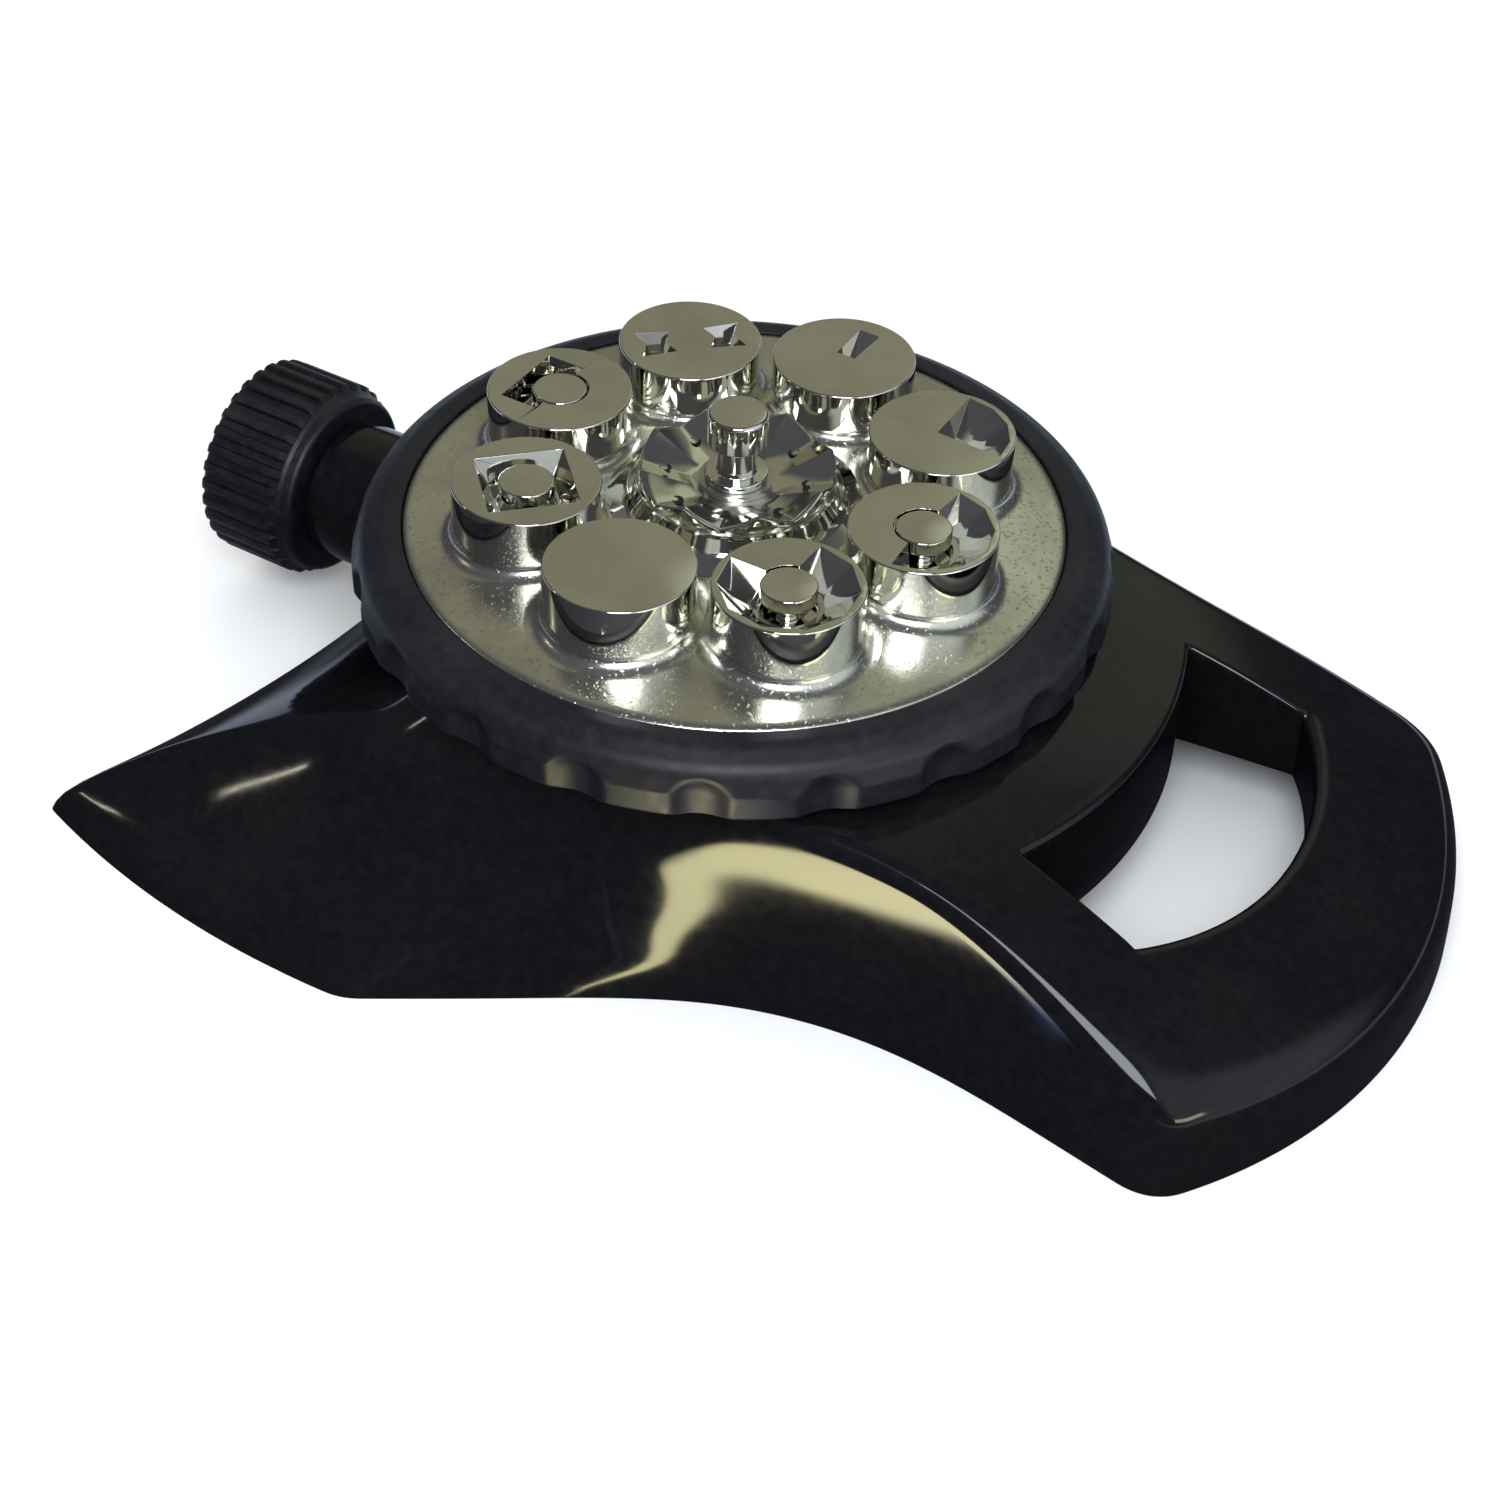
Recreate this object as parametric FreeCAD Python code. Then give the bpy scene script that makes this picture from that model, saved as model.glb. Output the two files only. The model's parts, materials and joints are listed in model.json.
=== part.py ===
"""Dial sprinkler: a sled-shaped base with a hose inlet and a turning head of eight nozzles.

Millimetres, +Z up.  +X runs along the base towards its handle and -X towards the hose.
Every piece is built about the head's axis, at the level of the ground, and is then moved
so that the finished origin is in the middle of the overall length, on the ground.
"""
import math
import os

import FreeCAD
import Part

# ---- Driving dimensions -----------------------------------------------------------------

# Head, which turns about the Z axis
NOZZLES = ("twin_jet", "single_jet", "quarter_circle", "half_circle",
           "full_circle", "blank", "square", "half_square")
NOZZLE_ANGLES = (135.0, 90.0, 45.0, 0.0, -45.0, -90.0, -135.0, 180.0)
NOZZLE_PITCH_RADIUS = 34.2
NOZZLE_RADIUS = 12.0
NOZZLE_FLANGE_RADIUS = 12.9
NOZZLE_TOP = 60.3
NOZZLE_CHAMBER_RADIUS = 6.5
NOZZLE_CHAMBER_TOP = 54.5
RECESS_DEPTH = 4.2
PLUG_RADIUS = 4.5
PLATE_RADIUS = 54.0
PLATE_RIM_TOP = 48.6
PLATE_DOME_RISE = 3.4
PLATE_THICKNESS = 1.6
RING_RADIUS = 62.3
RING_TOP = 48.7
RING_BOTTOM = 37.8
RING_LIP_RADIUS = 51.2
RING_LIP_TOP = 39.0
SCALLOPS = 20
SCALLOP_RADIUS = 7.5
SCALLOP_DEPTH = 1.7
SCALLOP_TOP = 44.4
CARRIER_BOTTOM = 38.2
CARRIER_TOP = 44.5
PASSAGE_RADIUS = 6.0
ROSETTE_RADIUS = 16.0
ROSETTE_SKIRT_RADIUS = 21.0
ROSETTE_TOP = 59.5
ROSETTE_FLOOR = 55.4
ROSETTE_HUB_RADIUS = 7.0
PETALS = 8
SPRAY_HOLE_RADIUS = 0.8
SPRAY_HOLE_PITCH_RADIUS = 11.6

# Pivot through the middle of the head
STUD_RADIUS = 4.9
STUD_TOP = 68.8
STUD_BOTTOM = 63.2
PIVOT_RADIUS = 3.2
PIVOT_COLLAR_RADIUS = 5.2
PIVOT_CLEARANCE = 0.06
PIVOT_END = 22.0
BUSH_RADIUS = 5.4

# Base
WALL = 3.0
HANDLE_ROUNDING = 4.0
SEAT_RADIUS = 53.0
SEAT_HEIGHT = 36.9
GROUND_END = 126.4
CROWN = ((SEAT_RADIUS, SEAT_HEIGHT), (75.5, 32.4), (96.0, 25.9), (130.0, 11.2))
SLOT_INNER_RADIUS = 75.7
SLOT_INNER_HALF_ANGLE = 22.9
SLOT_OUTER_CORNER = (90.2, 31.7)
SLOT_OUTER_MIDDLE = 101.7
SLOT_COLLAR_WALL = 2.6
SLOT_COLLAR_BOTTOM = 12.4
BOSS_HEIGHT = 4.0
TUNNEL_START = -61.0
DRUM_BOTTOM = 10.0

# Water way
INLET_HEIGHT = 21.6
NECK_RADIUS = 12.5
NECK_END = -80.8
SPIGOT_RADIUS = 9.6
SPIGOT_START = -57.0
SPIGOT_END = -45.5
PIPE_BORE_RADIUS = 6.5
TAIL_RADIUS = 8.5
TAIL_INNER_END = -67.0
TAIL_FLANGE_RADIUS = 11.9
PORT_RADIUS = 8.2
HOUSING_RADIUS = 13.0
HOUSING_NECK_RADIUS = 10.0
HOUSING_BOTTOM = 8.2
HOUSING_EAR_SPAN = 18.0

# Swivel nut, for a 3/4 inch garden hose thread
NUT_MOUTH = -100.0
NUT_BACK = -81.0
NUT_RADIUS = 17.8
NUT_COLLAR_RADIUS = 16.9
NUT_THREAD_RADIUS = 12.25
NUT_THREAD_END = -88.2
NUT_RIBS = 32
NUT_RIB_RADIUS = 1.05

# Click stop
DETENT_PITCH_RADIUS = 22.5
DETENT_BALL_RADIUS = 2.5
DETENT_BALL_HEIGHT = 35.6
DETENT_RISE = 0.6
DETENT_POCKET_FLOOR = 22.5

FIT_GAP = 0.05

# From the head's axis to the middle of the overall length
MIDDLE_X = (NUT_MOUTH + GROUND_END) / 2

Z_AXIS = FreeCAD.Vector(0, 0, 1)
X_AXIS = FreeCAD.Vector(1, 0, 0)
ORIGIN = FreeCAD.Vector(0, 0, 0)


# ---- Small helpers ----------------------------------------------------------------------

def vec(x, y, z=0.0):
    return FreeCAD.Vector(x, y, z)


def polar(radius, angle, z=0.0):
    turn = math.radians(angle)
    return vec(radius * math.cos(turn), radius * math.sin(turn), z)


def cylinder(radius, low, high, place=ORIGIN):
    return Part.makeCylinder(radius, high - low, vec(place.x, place.y, low), Z_AXIS)


def tube(outer, inner, low, high, place=ORIGIN):
    return cylinder(outer, low, high, place).cut(cylinder(inner, low - 1, high + 1, place))


def pipe_along_x(radius, start, end):
    return Part.makeCylinder(radius, end - start, vec(start, 0, INLET_HEIGHT), X_AXIS)


def revolved(profile):
    """Solid of revolution about Z from (radius, height) corners."""
    corners = [vec(radius, 0, height) for radius, height in profile]
    face = Part.Face(Part.makePolygon(corners + corners[:1]))
    return face.revolve(ORIGIN, Z_AXIS, 360)


def revolved_about_inlet(profile):
    """Solid of revolution about the inlet's axis from (x, radius) corners."""
    corners = [vec(x, 0, INLET_HEIGHT + radius) for x, radius in profile]
    face = Part.Face(Part.makePolygon(corners + corners[:1]))
    return face.revolve(vec(0, 0, INLET_HEIGHT), X_AXIS, 360)


def fused(shapes):
    return shapes[0].multiFuse(shapes[1:]).removeSplitter()


def all_round(shape, count, start=0.0):
    """Copies of a shape, evenly spaced about Z."""
    copies = []
    for number in range(count):
        copy = shape.copy()
        copy.rotate(ORIGIN, Z_AXIS, start + 360.0 * number / count)
        copies.append(copy)
    return copies


def coil_spring(radius, wire_radius, low, high, turns, place=ORIGIN):
    """Compression spring standing between two levels."""
    height = high - low - 2 * wire_radius
    helix = Part.makeHelix(height / turns, height, radius)
    start = helix.Edges[0].valueAt(helix.Edges[0].FirstParameter)
    section = Part.Wire(Part.makeCircle(wire_radius, start, vec(0, 1, 0)))
    spring = Part.Wire(helix.Edges).makePipeShell([section], True, True)
    spring.translate(vec(place.x, place.y, low + wire_radius))
    return spring


def save(node, shape):
    shape.translate(vec(-MIDDLE_X, 0, 0))
    shape.exportStep("parts/" + node + ".step")


# ---- Base -------------------------------------------------------------------------------

# Half outline of the base, tip to handle: x, y at the ground, y at the shoulder
SIDE_CORNER = (-18.0, 86.0, 60.5)
WAIST = ((2.7, 72.4, 55.6), (29.7, 55.9, 50.2), (62.0, 48.9, 45.6), (91.0, 52.0, 49.0))
REAR_CORNER = (107.0, 54.5, 51.5)

# Level by level: height, share of the way from ground width to shoulder width,
# nose, wing tip x and y, bulge of the wing's side, and the handle's end
LEVELS = (
    (0.0, 0.00, -71.5, -85.6, 77.0, 3.6, 0.0),
    (4.0, 0.16, -69.2, -83.0, 75.5, 3.3, 0.1),
    (8.0, 0.34, -64.6, -76.5, 69.0, 3.0, 0.3),
    (13.5, 0.56, -57.0, -65.0, 61.5, 2.4, 0.6),
    (21.0, 0.82, -47.0, -46.5, 56.0, 1.6, 1.4),
    (27.0, 1.00, -40.5, -34.0, 54.5, 1.0, 2.4),
    (33.0, 1.25, -36.5, -28.0, 48.5, 0.7, 4.2),
    (39.0, 1.65, -34.0, -24.0, 40.0, 0.4, 6.6),
)


def level_wire(level, inset, mirrored_height=None):
    """Closed outline of the base at one level, drawn in by the inset."""
    height, share, nose, tip_x, tip_y, bulge, shorter = level
    height = height if mirrored_height is None else mirrored_height

    def side(entry):
        x, ground, shoulder = entry
        return x, ground + share * (shoulder - ground) - inset

    tip = (tip_x + 1.2 * inset, tip_y - 1.3 * inset)
    corner = side(SIDE_CORNER)
    rear_x, rear_y = side(REAR_CORNER)
    rear_x -= inset + 0.3 * shorter
    end = GROUND_END - shorter - inset
    nose_x = nose + inset
    middle = ((tip[0] + corner[0]) / 2, (tip[1] + corner[1]) / 2 + bulge)
    waist = [corner] + [side(entry) for entry in WAIST] + [(rear_x, rear_y)]

    def place(point, way=1):
        return vec(point[0], way * point[1], height)

    def spline(points, way):
        curve = Part.BSplineCurve()
        curve.interpolate([place(point, way) for point in points])
        return curve.toShape()

    front = Part.Arc(place(tip, -1), vec(nose_x, 0, height), place(tip)).toShape()
    rear = Part.Arc(place((rear_x, rear_y)), vec(end, 0, height), place((rear_x, rear_y), -1))
    edges = [front,
             Part.Arc(place(tip), place(middle), place(corner)).toShape(),
             spline(waist, 1),
             rear.toShape(),
             spline(waist[::-1], -1),
             Part.Arc(place(corner, -1), place(middle, -1), place(tip, -1)).toShape()]
    return Part.Wire(edges)


def base_block(inset, drop, low):
    """The base without its hollow: levels joined in turn, cut off by the crown's curve."""
    wires = [level_wire(level, inset) for level in LEVELS]
    if low < 0:
        wires[0] = level_wire(LEVELS[0], inset, low)
    block = Part.makeLoft(wires, True, False)
    crown = Part.BSplineCurve()
    crown.interpolate([vec(radius, 0, height - drop) for radius, height in CROWN])
    first, last = crown.StartPoint, crown.EndPoint
    corners = [last, vec(last.x, 0, low), vec(0, 0, low), vec(0, 0, first.z), first]
    edges = [crown.toShape()]
    edges += [Part.makeLine(one, two) for one, two in zip(corners, corners[1:])]
    return block.common(Part.Face(Part.Wire(edges)).revolve(ORIGIN, Z_AXIS, 360))


def rounded_handle(block):
    """Rounds the handle's top rim and its two rear corners."""
    rim = []
    for edge in block.Edges:
        kinds = [type(face.Surface).__name__ for face in block.Faces
                 if any(edge.isSame(other) for other in face.Edges)]
        middle = edge.valueAt((edge.FirstParameter + edge.LastParameter) / 2)
        is_rim = sorted(kinds) == ["BSplineSurface", "SurfaceOfRevolution"]
        is_corner = kinds == ["BSplineSurface"] * 2 and middle.x > SLOT_OUTER_MIDDLE
        if is_rim or is_corner:
            rim.append(edge)
    return block.makeFillet(HANDLE_ROUNDING, rim)


def slot_prism(grow, low, high):
    """The finger slot's shape: a sector of a ring about the head's axis."""
    inner = SLOT_INNER_RADIUS - grow
    inner_angle = SLOT_INNER_HALF_ANGLE + math.degrees(grow / inner)
    corner_x, corner_y = SLOT_OUTER_CORNER[0] + grow, SLOT_OUTER_CORNER[1] + grow
    outer, mirrored = vec(corner_x, corner_y, low), vec(corner_x, -corner_y, low)
    edges = [Part.Arc(mirrored, vec(SLOT_OUTER_MIDDLE + grow, 0, low), outer).toShape(),
             Part.makeLine(outer, polar(inner, inner_angle, low)),
             Part.Arc(polar(inner, inner_angle, low), vec(inner, 0, low),
                      polar(inner, -inner_angle, low)).toShape(),
             Part.makeLine(polar(inner, -inner_angle, low), mirrored)]
    return Part.Face(Part.Wire(edges)).extrude(vec(0, 0, high - low))


def port_place():
    return polar(NOZZLE_PITCH_RADIUS, 180.0)


def detent_place():
    return polar(DETENT_PITCH_RADIUS, 90.0)


def housing_screw_places():
    port = port_place()
    return [vec(port.x, way * HOUSING_EAR_SPAN) for way in (-1, 1)]


def base_shell():
    deck = SEAT_HEIGHT - WALL
    tunnel = pipe_along_x(NECK_RADIUS + WALL, TUNNEL_START, SPIGOT_START + 8.0)
    outer = fused([rounded_handle(base_block(0.0, 0.0, 0.0)),
                   cylinder(SEAT_RADIUS, DRUM_BOTTOM, SEAT_HEIGHT),
                   tunnel.common(cylinder(200, 0, SEAT_HEIGHT))])
    hollow = base_block(WALL, WALL, -1.0).fuse(cylinder(SEAT_RADIUS - WALL, -1.0, deck))
    shell = outer.cut(hollow)
    collar = slot_prism(SLOT_COLLAR_WALL, SLOT_COLLAR_BOTTOM, SEAT_HEIGHT).common(outer)
    bosses = [cylinder(8.0, deck - BOSS_HEIGHT, deck + 1),
              cylinder(5.0, DETENT_POCKET_FLOOR - 2.0, deck + 1, detent_place())]
    bosses += [cylinder(4.0, deck - 9.0, deck + 1, place) for place in housing_screw_places()]
    shell = fused([shell, collar] + bosses)
    cuts = [slot_prism(0.0, -1.0, SEAT_HEIGHT + 5),
            cylinder(PIVOT_RADIUS + FIT_GAP, 0.0, SEAT_HEIGHT + 5),
            cylinder(HOUSING_NECK_RADIUS + FIT_GAP, deck - 1, SEAT_HEIGHT + 5, port_place()),
            cylinder(DETENT_BALL_RADIUS + FIT_GAP, DETENT_POCKET_FLOOR, SEAT_HEIGHT + 5,
                     detent_place()),
            pipe_along_x(NECK_RADIUS + FIT_GAP, -95.0, SPIGOT_START + 0.1),
            pipe_along_x(HOUSING_RADIUS + FIT_GAP, SPIGOT_START, port_place().x)]
    cuts += [cylinder(1.3, deck - 10, deck, place) for place in housing_screw_places()]
    return shell.cut(cuts[0].multiFuse(cuts[1:]))


def port_housing():
    """Elbow that turns the water up into the head."""
    port = port_place()
    deck = SEAT_HEIGHT - WALL
    body = fused([cylinder(HOUSING_RADIUS, HOUSING_BOTTOM, deck - FIT_GAP, port),
                  cylinder(HOUSING_NECK_RADIUS, deck - 1, SEAT_HEIGHT, port),
                  pipe_along_x(HOUSING_RADIUS, SPIGOT_START, port.x)])
    ear = Part.makeBox(9.0, 2 * HOUSING_EAR_SPAN + 9.0, 4.0,
                       vec(port.x - 4.5, -HOUSING_EAR_SPAN - 4.5, deck - 13.1))
    body = fused([body, ear])
    bore = cylinder(PORT_RADIUS, INLET_HEIGHT - PIPE_BORE_RADIUS, SEAT_HEIGHT + 1, port)
    socket = pipe_along_x(SPIGOT_RADIUS + FIT_GAP, SPIGOT_START - 1, SPIGOT_END + FIT_GAP)
    passage = pipe_along_x(PIPE_BORE_RADIUS, SPIGOT_END, port.x)
    holes = [cylinder(1.6, 0, deck, place) for place in housing_screw_places()]
    return body.cut(bore.multiFuse([socket, passage] + holes))


def housing_screws():
    """Pan-head screws that hold the port housing up under the base's top."""
    deck = SEAT_HEIGHT - WALL
    head_top = deck - 13.15
    screws = []
    for place in housing_screw_places():
        screw = fused([cylinder(1.25, head_top - 1, deck - 2, place),
                       cylinder(2.9, head_top - 2.0, head_top, place)])
        slot = Part.makeBox(5.0, 0.8, 1.0, vec(place.x - 2.5, place.y - 0.4, head_top - 2.1))
        cross = Part.makeBox(0.8, 5.0, 1.0, vec(place.x - 0.4, place.y - 2.5, head_top - 2.1))
        screws.append(screw.cut(slot.fuse(cross)))
    return Part.makeCompound(screws)


def port_seal():
    """Rubber cup pressed up against the head's underside."""
    port = port_place()
    cup = tube(PORT_RADIUS - FIT_GAP, 4.6, 30.4, CARRIER_BOTTOM - FIT_GAP, port)
    return cup.cut(cylinder(6.6, 29.0, 33.5, port))


def inlet_pipe():
    neck_inner = SPIGOT_START - 0.05
    groove_start = SPIGOT_END - 6.0
    profile = [(NECK_END, PIPE_BORE_RADIUS), (NECK_END, NECK_RADIUS - 0.8),
               (NECK_END + 0.8, NECK_RADIUS), (neck_inner, NECK_RADIUS),
               (neck_inner, SPIGOT_RADIUS), (groove_start, SPIGOT_RADIUS),
               (groove_start, SPIGOT_RADIUS - 1.5), (groove_start + 2.2, SPIGOT_RADIUS - 1.5),
               (groove_start + 2.2, SPIGOT_RADIUS), (SPIGOT_END, SPIGOT_RADIUS),
               (SPIGOT_END, PIPE_BORE_RADIUS)]
    tail_hole = pipe_along_x(TAIL_RADIUS + FIT_GAP, NECK_END - 1, TAIL_INNER_END + FIT_GAP)
    return revolved_about_inlet(profile).cut(tail_hole)


def ring_about_inlet(middle_x, radius, section_radius):
    return Part.makeTorus(radius, section_radius, vec(middle_x, 0, INLET_HEIGHT), X_AXIS)


def swivel_tail():
    """Flanged metal tube that the nut turns on."""
    flange_start = NUT_THREAD_END + 3.2
    flange_end = flange_start + 2.3
    profile = [(flange_start, PIPE_BORE_RADIUS - 0.6), (flange_start, TAIL_FLANGE_RADIUS - 0.4),
               (flange_start + 0.4, TAIL_FLANGE_RADIUS), (flange_end, TAIL_FLANGE_RADIUS),
               (flange_end, TAIL_RADIUS), (TAIL_INNER_END, TAIL_RADIUS),
               (TAIL_INNER_END, PIPE_BORE_RADIUS - 0.6)]
    return revolved_about_inlet(profile)


def detent_ball():
    place = detent_place()
    return Part.makeSphere(DETENT_BALL_RADIUS, vec(place.x, place.y, DETENT_BALL_HEIGHT))


# ---- Pivot ------------------------------------------------------------------------------

def pivot_stud():
    """Turned stud: a thread, a plain journal, a collar over the head and a round top."""
    collar_low = ROSETTE_FLOOR + 1.0
    collar_high = collar_low + 1.3
    profile = [(0, PIVOT_END), (2.6, PIVOT_END), (2.95, PIVOT_END + 0.4),
               (2.95, SEAT_HEIGHT - WALL - BOSS_HEIGHT), (PIVOT_RADIUS, SEAT_HEIGHT - WALL - 3),
               (PIVOT_RADIUS, collar_low), (PIVOT_COLLAR_RADIUS, collar_low),
               (PIVOT_COLLAR_RADIUS, collar_high - 0.3), (PIVOT_COLLAR_RADIUS - 0.3, collar_high),
               (PIVOT_RADIUS, collar_high), (PIVOT_RADIUS, STUD_BOTTOM),
               (STUD_RADIUS - 0.3, STUD_BOTTOM), (STUD_RADIUS, STUD_BOTTOM + 0.3),
               (STUD_RADIUS, STUD_TOP - 0.7), (STUD_RADIUS - 0.7, STUD_TOP), (0, STUD_TOP)]
    return revolved(profile)


def pivot_nut():
    """Hexagon lock nut under the base's top."""
    top = SEAT_HEIGHT - WALL - BOSS_HEIGHT - 0.9
    across_corners = 5.8
    corners = [polar(across_corners, 60.0 * number, top - 5.0) for number in range(7)]
    nut = Part.Face(Part.makePolygon(corners)).extrude(vec(0, 0, 5.0))
    return nut.cut(cylinder(2.95 + FIT_GAP, top - 6, top + 1))


def pivot_washer():
    top = SEAT_HEIGHT - WALL - BOSS_HEIGHT - FIT_GAP
    return tube(7.4, PIVOT_RADIUS + 0.1, top - 0.8, top)


def thrust_washer():
    """Thin washer between the stud's collar and the rosette's floor."""
    return tube(PIVOT_COLLAR_RADIUS + 0.9, PIVOT_RADIUS + 0.12, ROSETTE_FLOOR + FIT_GAP,
                ROSETTE_FLOOR + 0.95)


def pivot_bush():
    return tube(BUSH_RADIUS, PIVOT_RADIUS + PIVOT_CLEARANCE, CARRIER_BOTTOM + 0.1,
                ROSETTE_FLOOR - FIT_GAP)


# ---- Head -------------------------------------------------------------------------------

def grip_ring():
    inner = PLATE_RADIUS + FIT_GAP
    shoulder_start = vec(RING_RADIUS - 0.2, 0, RING_BOTTOM + 4.5)
    shoulder_middle = vec(RING_RADIUS - 1.8, 0, RING_TOP - 2.2)
    shoulder_end = vec(RING_RADIUS - 5.6, 0, RING_TOP)
    foot = vec(RING_RADIUS - 0.6, 0, RING_BOTTOM)
    side = vec(RING_RADIUS, 0, RING_BOTTOM + 0.7)
    inside = [vec(inner, 0, RING_TOP), vec(inner, 0, RING_LIP_TOP),
              vec(RING_LIP_RADIUS, 0, RING_LIP_TOP), vec(RING_LIP_RADIUS, 0, RING_BOTTOM)]
    edges = [Part.makeLine(foot, side), Part.makeLine(side, shoulder_start),
             Part.Arc(shoulder_start, shoulder_middle, shoulder_end).toShape()]
    corners = [shoulder_end] + inside + [foot]
    edges += [Part.makeLine(one, two) for one, two in zip(corners, corners[1:])]
    ring = Part.Face(Part.Wire(edges)).revolve(ORIGIN, Z_AXIS, 360)
    middle = RING_RADIUS - SCALLOP_DEPTH + SCALLOP_RADIUS
    groove = cylinder(SCALLOP_RADIUS, RING_BOTTOM - 2, SCALLOP_TOP - 3, vec(middle, 0))
    cap = Part.makeSphere(SCALLOP_RADIUS, vec(middle, 0, SCALLOP_TOP - 3))
    cap = cap.common(cylinder(2 * SCALLOP_RADIUS, SCALLOP_TOP - 3, RING_TOP, vec(middle, 0)))
    scallop = groove.fuse(cap)
    scallops = all_round(scallop, SCALLOPS, 180.0 / SCALLOPS)
    return ring.cut(scallops[0].multiFuse(scallops[1:]))


def dome_height(radius, drop=0.0):
    """Height of the plate's top at a radius: a shallow sphere over the rim."""
    sphere = (PLATE_RADIUS ** 2 + PLATE_DOME_RISE ** 2) / (2 * PLATE_DOME_RISE)
    top = PLATE_RIM_TOP + PLATE_DOME_RISE
    return top - sphere + math.sqrt(sphere ** 2 - radius ** 2) - drop


def dial_plate():
    """Domed pressing with a turned-down edge, pierced for the nozzles and the rosette."""
    skirt_low = CARRIER_TOP + FIT_GAP
    top_edge = Part.Arc(vec(PLATE_RADIUS - 0.6, 0, dome_height(PLATE_RADIUS - 0.6)),
                        vec(PLATE_RADIUS / 2, 0, dome_height(PLATE_RADIUS / 2)),
                        vec(0, 0, dome_height(0))).toShape()
    inner = PLATE_RADIUS - PLATE_THICKNESS
    under = Part.Arc(vec(0, 0, dome_height(0, PLATE_THICKNESS)),
                     vec(inner / 2, 0, dome_height(inner / 2, PLATE_THICKNESS)),
                     vec(inner, 0, dome_height(inner, PLATE_THICKNESS))).toShape()
    edges = [Part.makeLine(vec(PLATE_RADIUS, 0, skirt_low),
                           vec(PLATE_RADIUS, 0, PLATE_RIM_TOP - 0.5)),
             Part.makeLine(vec(PLATE_RADIUS, 0, PLATE_RIM_TOP - 0.5),
                           vec(PLATE_RADIUS - 0.6, 0, dome_height(PLATE_RADIUS - 0.6))),
             top_edge,
             Part.makeLine(vec(0, 0, dome_height(0)), vec(0, 0, dome_height(0, PLATE_THICKNESS))),
             under,
             Part.makeLine(vec(inner, 0, dome_height(inner, PLATE_THICKNESS)),
                           vec(inner, 0, skirt_low)),
             Part.makeLine(vec(inner, 0, skirt_low), vec(PLATE_RADIUS, 0, skirt_low))]
    plate = Part.Face(Part.Wire(edges)).revolve(ORIGIN, Z_AXIS, 360)
    posts = [cylinder(3.2, skirt_low, dome_height(47.0) - 0.8, place) for place in post_places()]
    plate = fused([plate] + posts)
    cuts = [cylinder(NOZZLE_RADIUS + FIT_GAP, 40, 60, polar(NOZZLE_PITCH_RADIUS, angle))
            for angle in NOZZLE_ANGLES]
    cuts += [cylinder(ROSETTE_RADIUS - 0.6 + FIT_GAP, 40, 60)]
    cuts += [cylinder(1.3, 40, PLATE_RIM_TOP - 1.5, place) for place in post_places()]
    return plate.cut(cuts[0].multiFuse(cuts[1:]))


def post_places():
    """Screw posts between the nozzles, near the rim."""
    return [polar(47.0, 22.5 + 90.0 * number) for number in range(4)]


def dial_carrier():
    """Moulded disc under the plate, with a water passage for each nozzle."""
    profile = [(0, CARRIER_BOTTOM), (RING_LIP_RADIUS - 0.2, CARRIER_BOTTOM),
               (RING_LIP_RADIUS - 0.2, RING_LIP_TOP + FIT_GAP),
               (PLATE_RADIUS, RING_LIP_TOP + FIT_GAP), (PLATE_RADIUS, CARRIER_TOP),
               (0, CARRIER_TOP)]
    disc = revolved(profile)
    cuts = [cylinder(BUSH_RADIUS + 0.02, 30, 50)]
    for angle in NOZZLE_ANGLES:
        if NOZZLES[NOZZLE_ANGLES.index(angle)] != "blank":
            place = polar(NOZZLE_PITCH_RADIUS, angle)
            cuts.append(cylinder(PASSAGE_RADIUS, 30, 50, place))
        cuts.append(Part.makeSphere(DETENT_BALL_RADIUS + 0.2,
                                    polar(DETENT_PITCH_RADIUS, angle,
                                          DETENT_BALL_HEIGHT + DETENT_RISE)))
    for place in post_places():
        cuts.append(cylinder(1.6, 30, 50, place))
        cuts.append(cylinder(2.9, 30, CARRIER_BOTTOM + 2.2, place))
    for angle in NOZZLE_ANGLES:
        place = polar(NOZZLE_PITCH_RADIUS, angle)
        cuts.append(tube(9.9, 8.1, CARRIER_TOP - 1.2, CARRIER_TOP + 1, place))
    return disc.cut(cuts[0].multiFuse(cuts[1:]))


def carrier_screws():
    """Screws from below that clamp the carrier to the plate."""
    screws = []
    for place in post_places():
        screw = fused([cylinder(2.7, CARRIER_BOTTOM + 0.2, CARRIER_BOTTOM + 2.15, place),
                       cylinder(1.25, CARRIER_BOTTOM + 1, CARRIER_TOP + 2.2, place)])
        slot = Part.makeBox(5.4, 0.8, 0.9, vec(place.x - 2.7, place.y - 0.4, CARRIER_BOTTOM))
        screws.append(screw.cut(slot))
    return Part.makeCompound(screws)


def nozzle_gaskets():
    """O-rings that seal the nozzles to the carrier."""
    rings = []
    for angle in NOZZLE_ANGLES:
        place = polar(NOZZLE_PITCH_RADIUS, angle)
        rings.append(tube(9.8, 8.2, CARRIER_TOP - 1.15, CARRIER_TOP, place))
    return Part.makeCompound(rings)


def frustum(top_points, bottom_points, depth):
    """Recess cutter between an outline on the nozzle's face and one below it."""
    top = [vec(x, y, NOZZLE_TOP) for x, y in top_points]
    bottom = [vec(x, y, NOZZLE_TOP - depth) for x, y in bottom_points]
    above = [vec(x, y, NOZZLE_TOP + 1) for x, y in top_points]
    lower = Part.makeLoft([Part.makePolygon(bottom + bottom[:1]),
                           Part.makePolygon(top + top[:1])], True, True)
    upper = Part.makeLoft([Part.makePolygon(top + top[:1]),
                           Part.makePolygon(above + above[:1])], True, True)
    return lower.fuse(upper)


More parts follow.
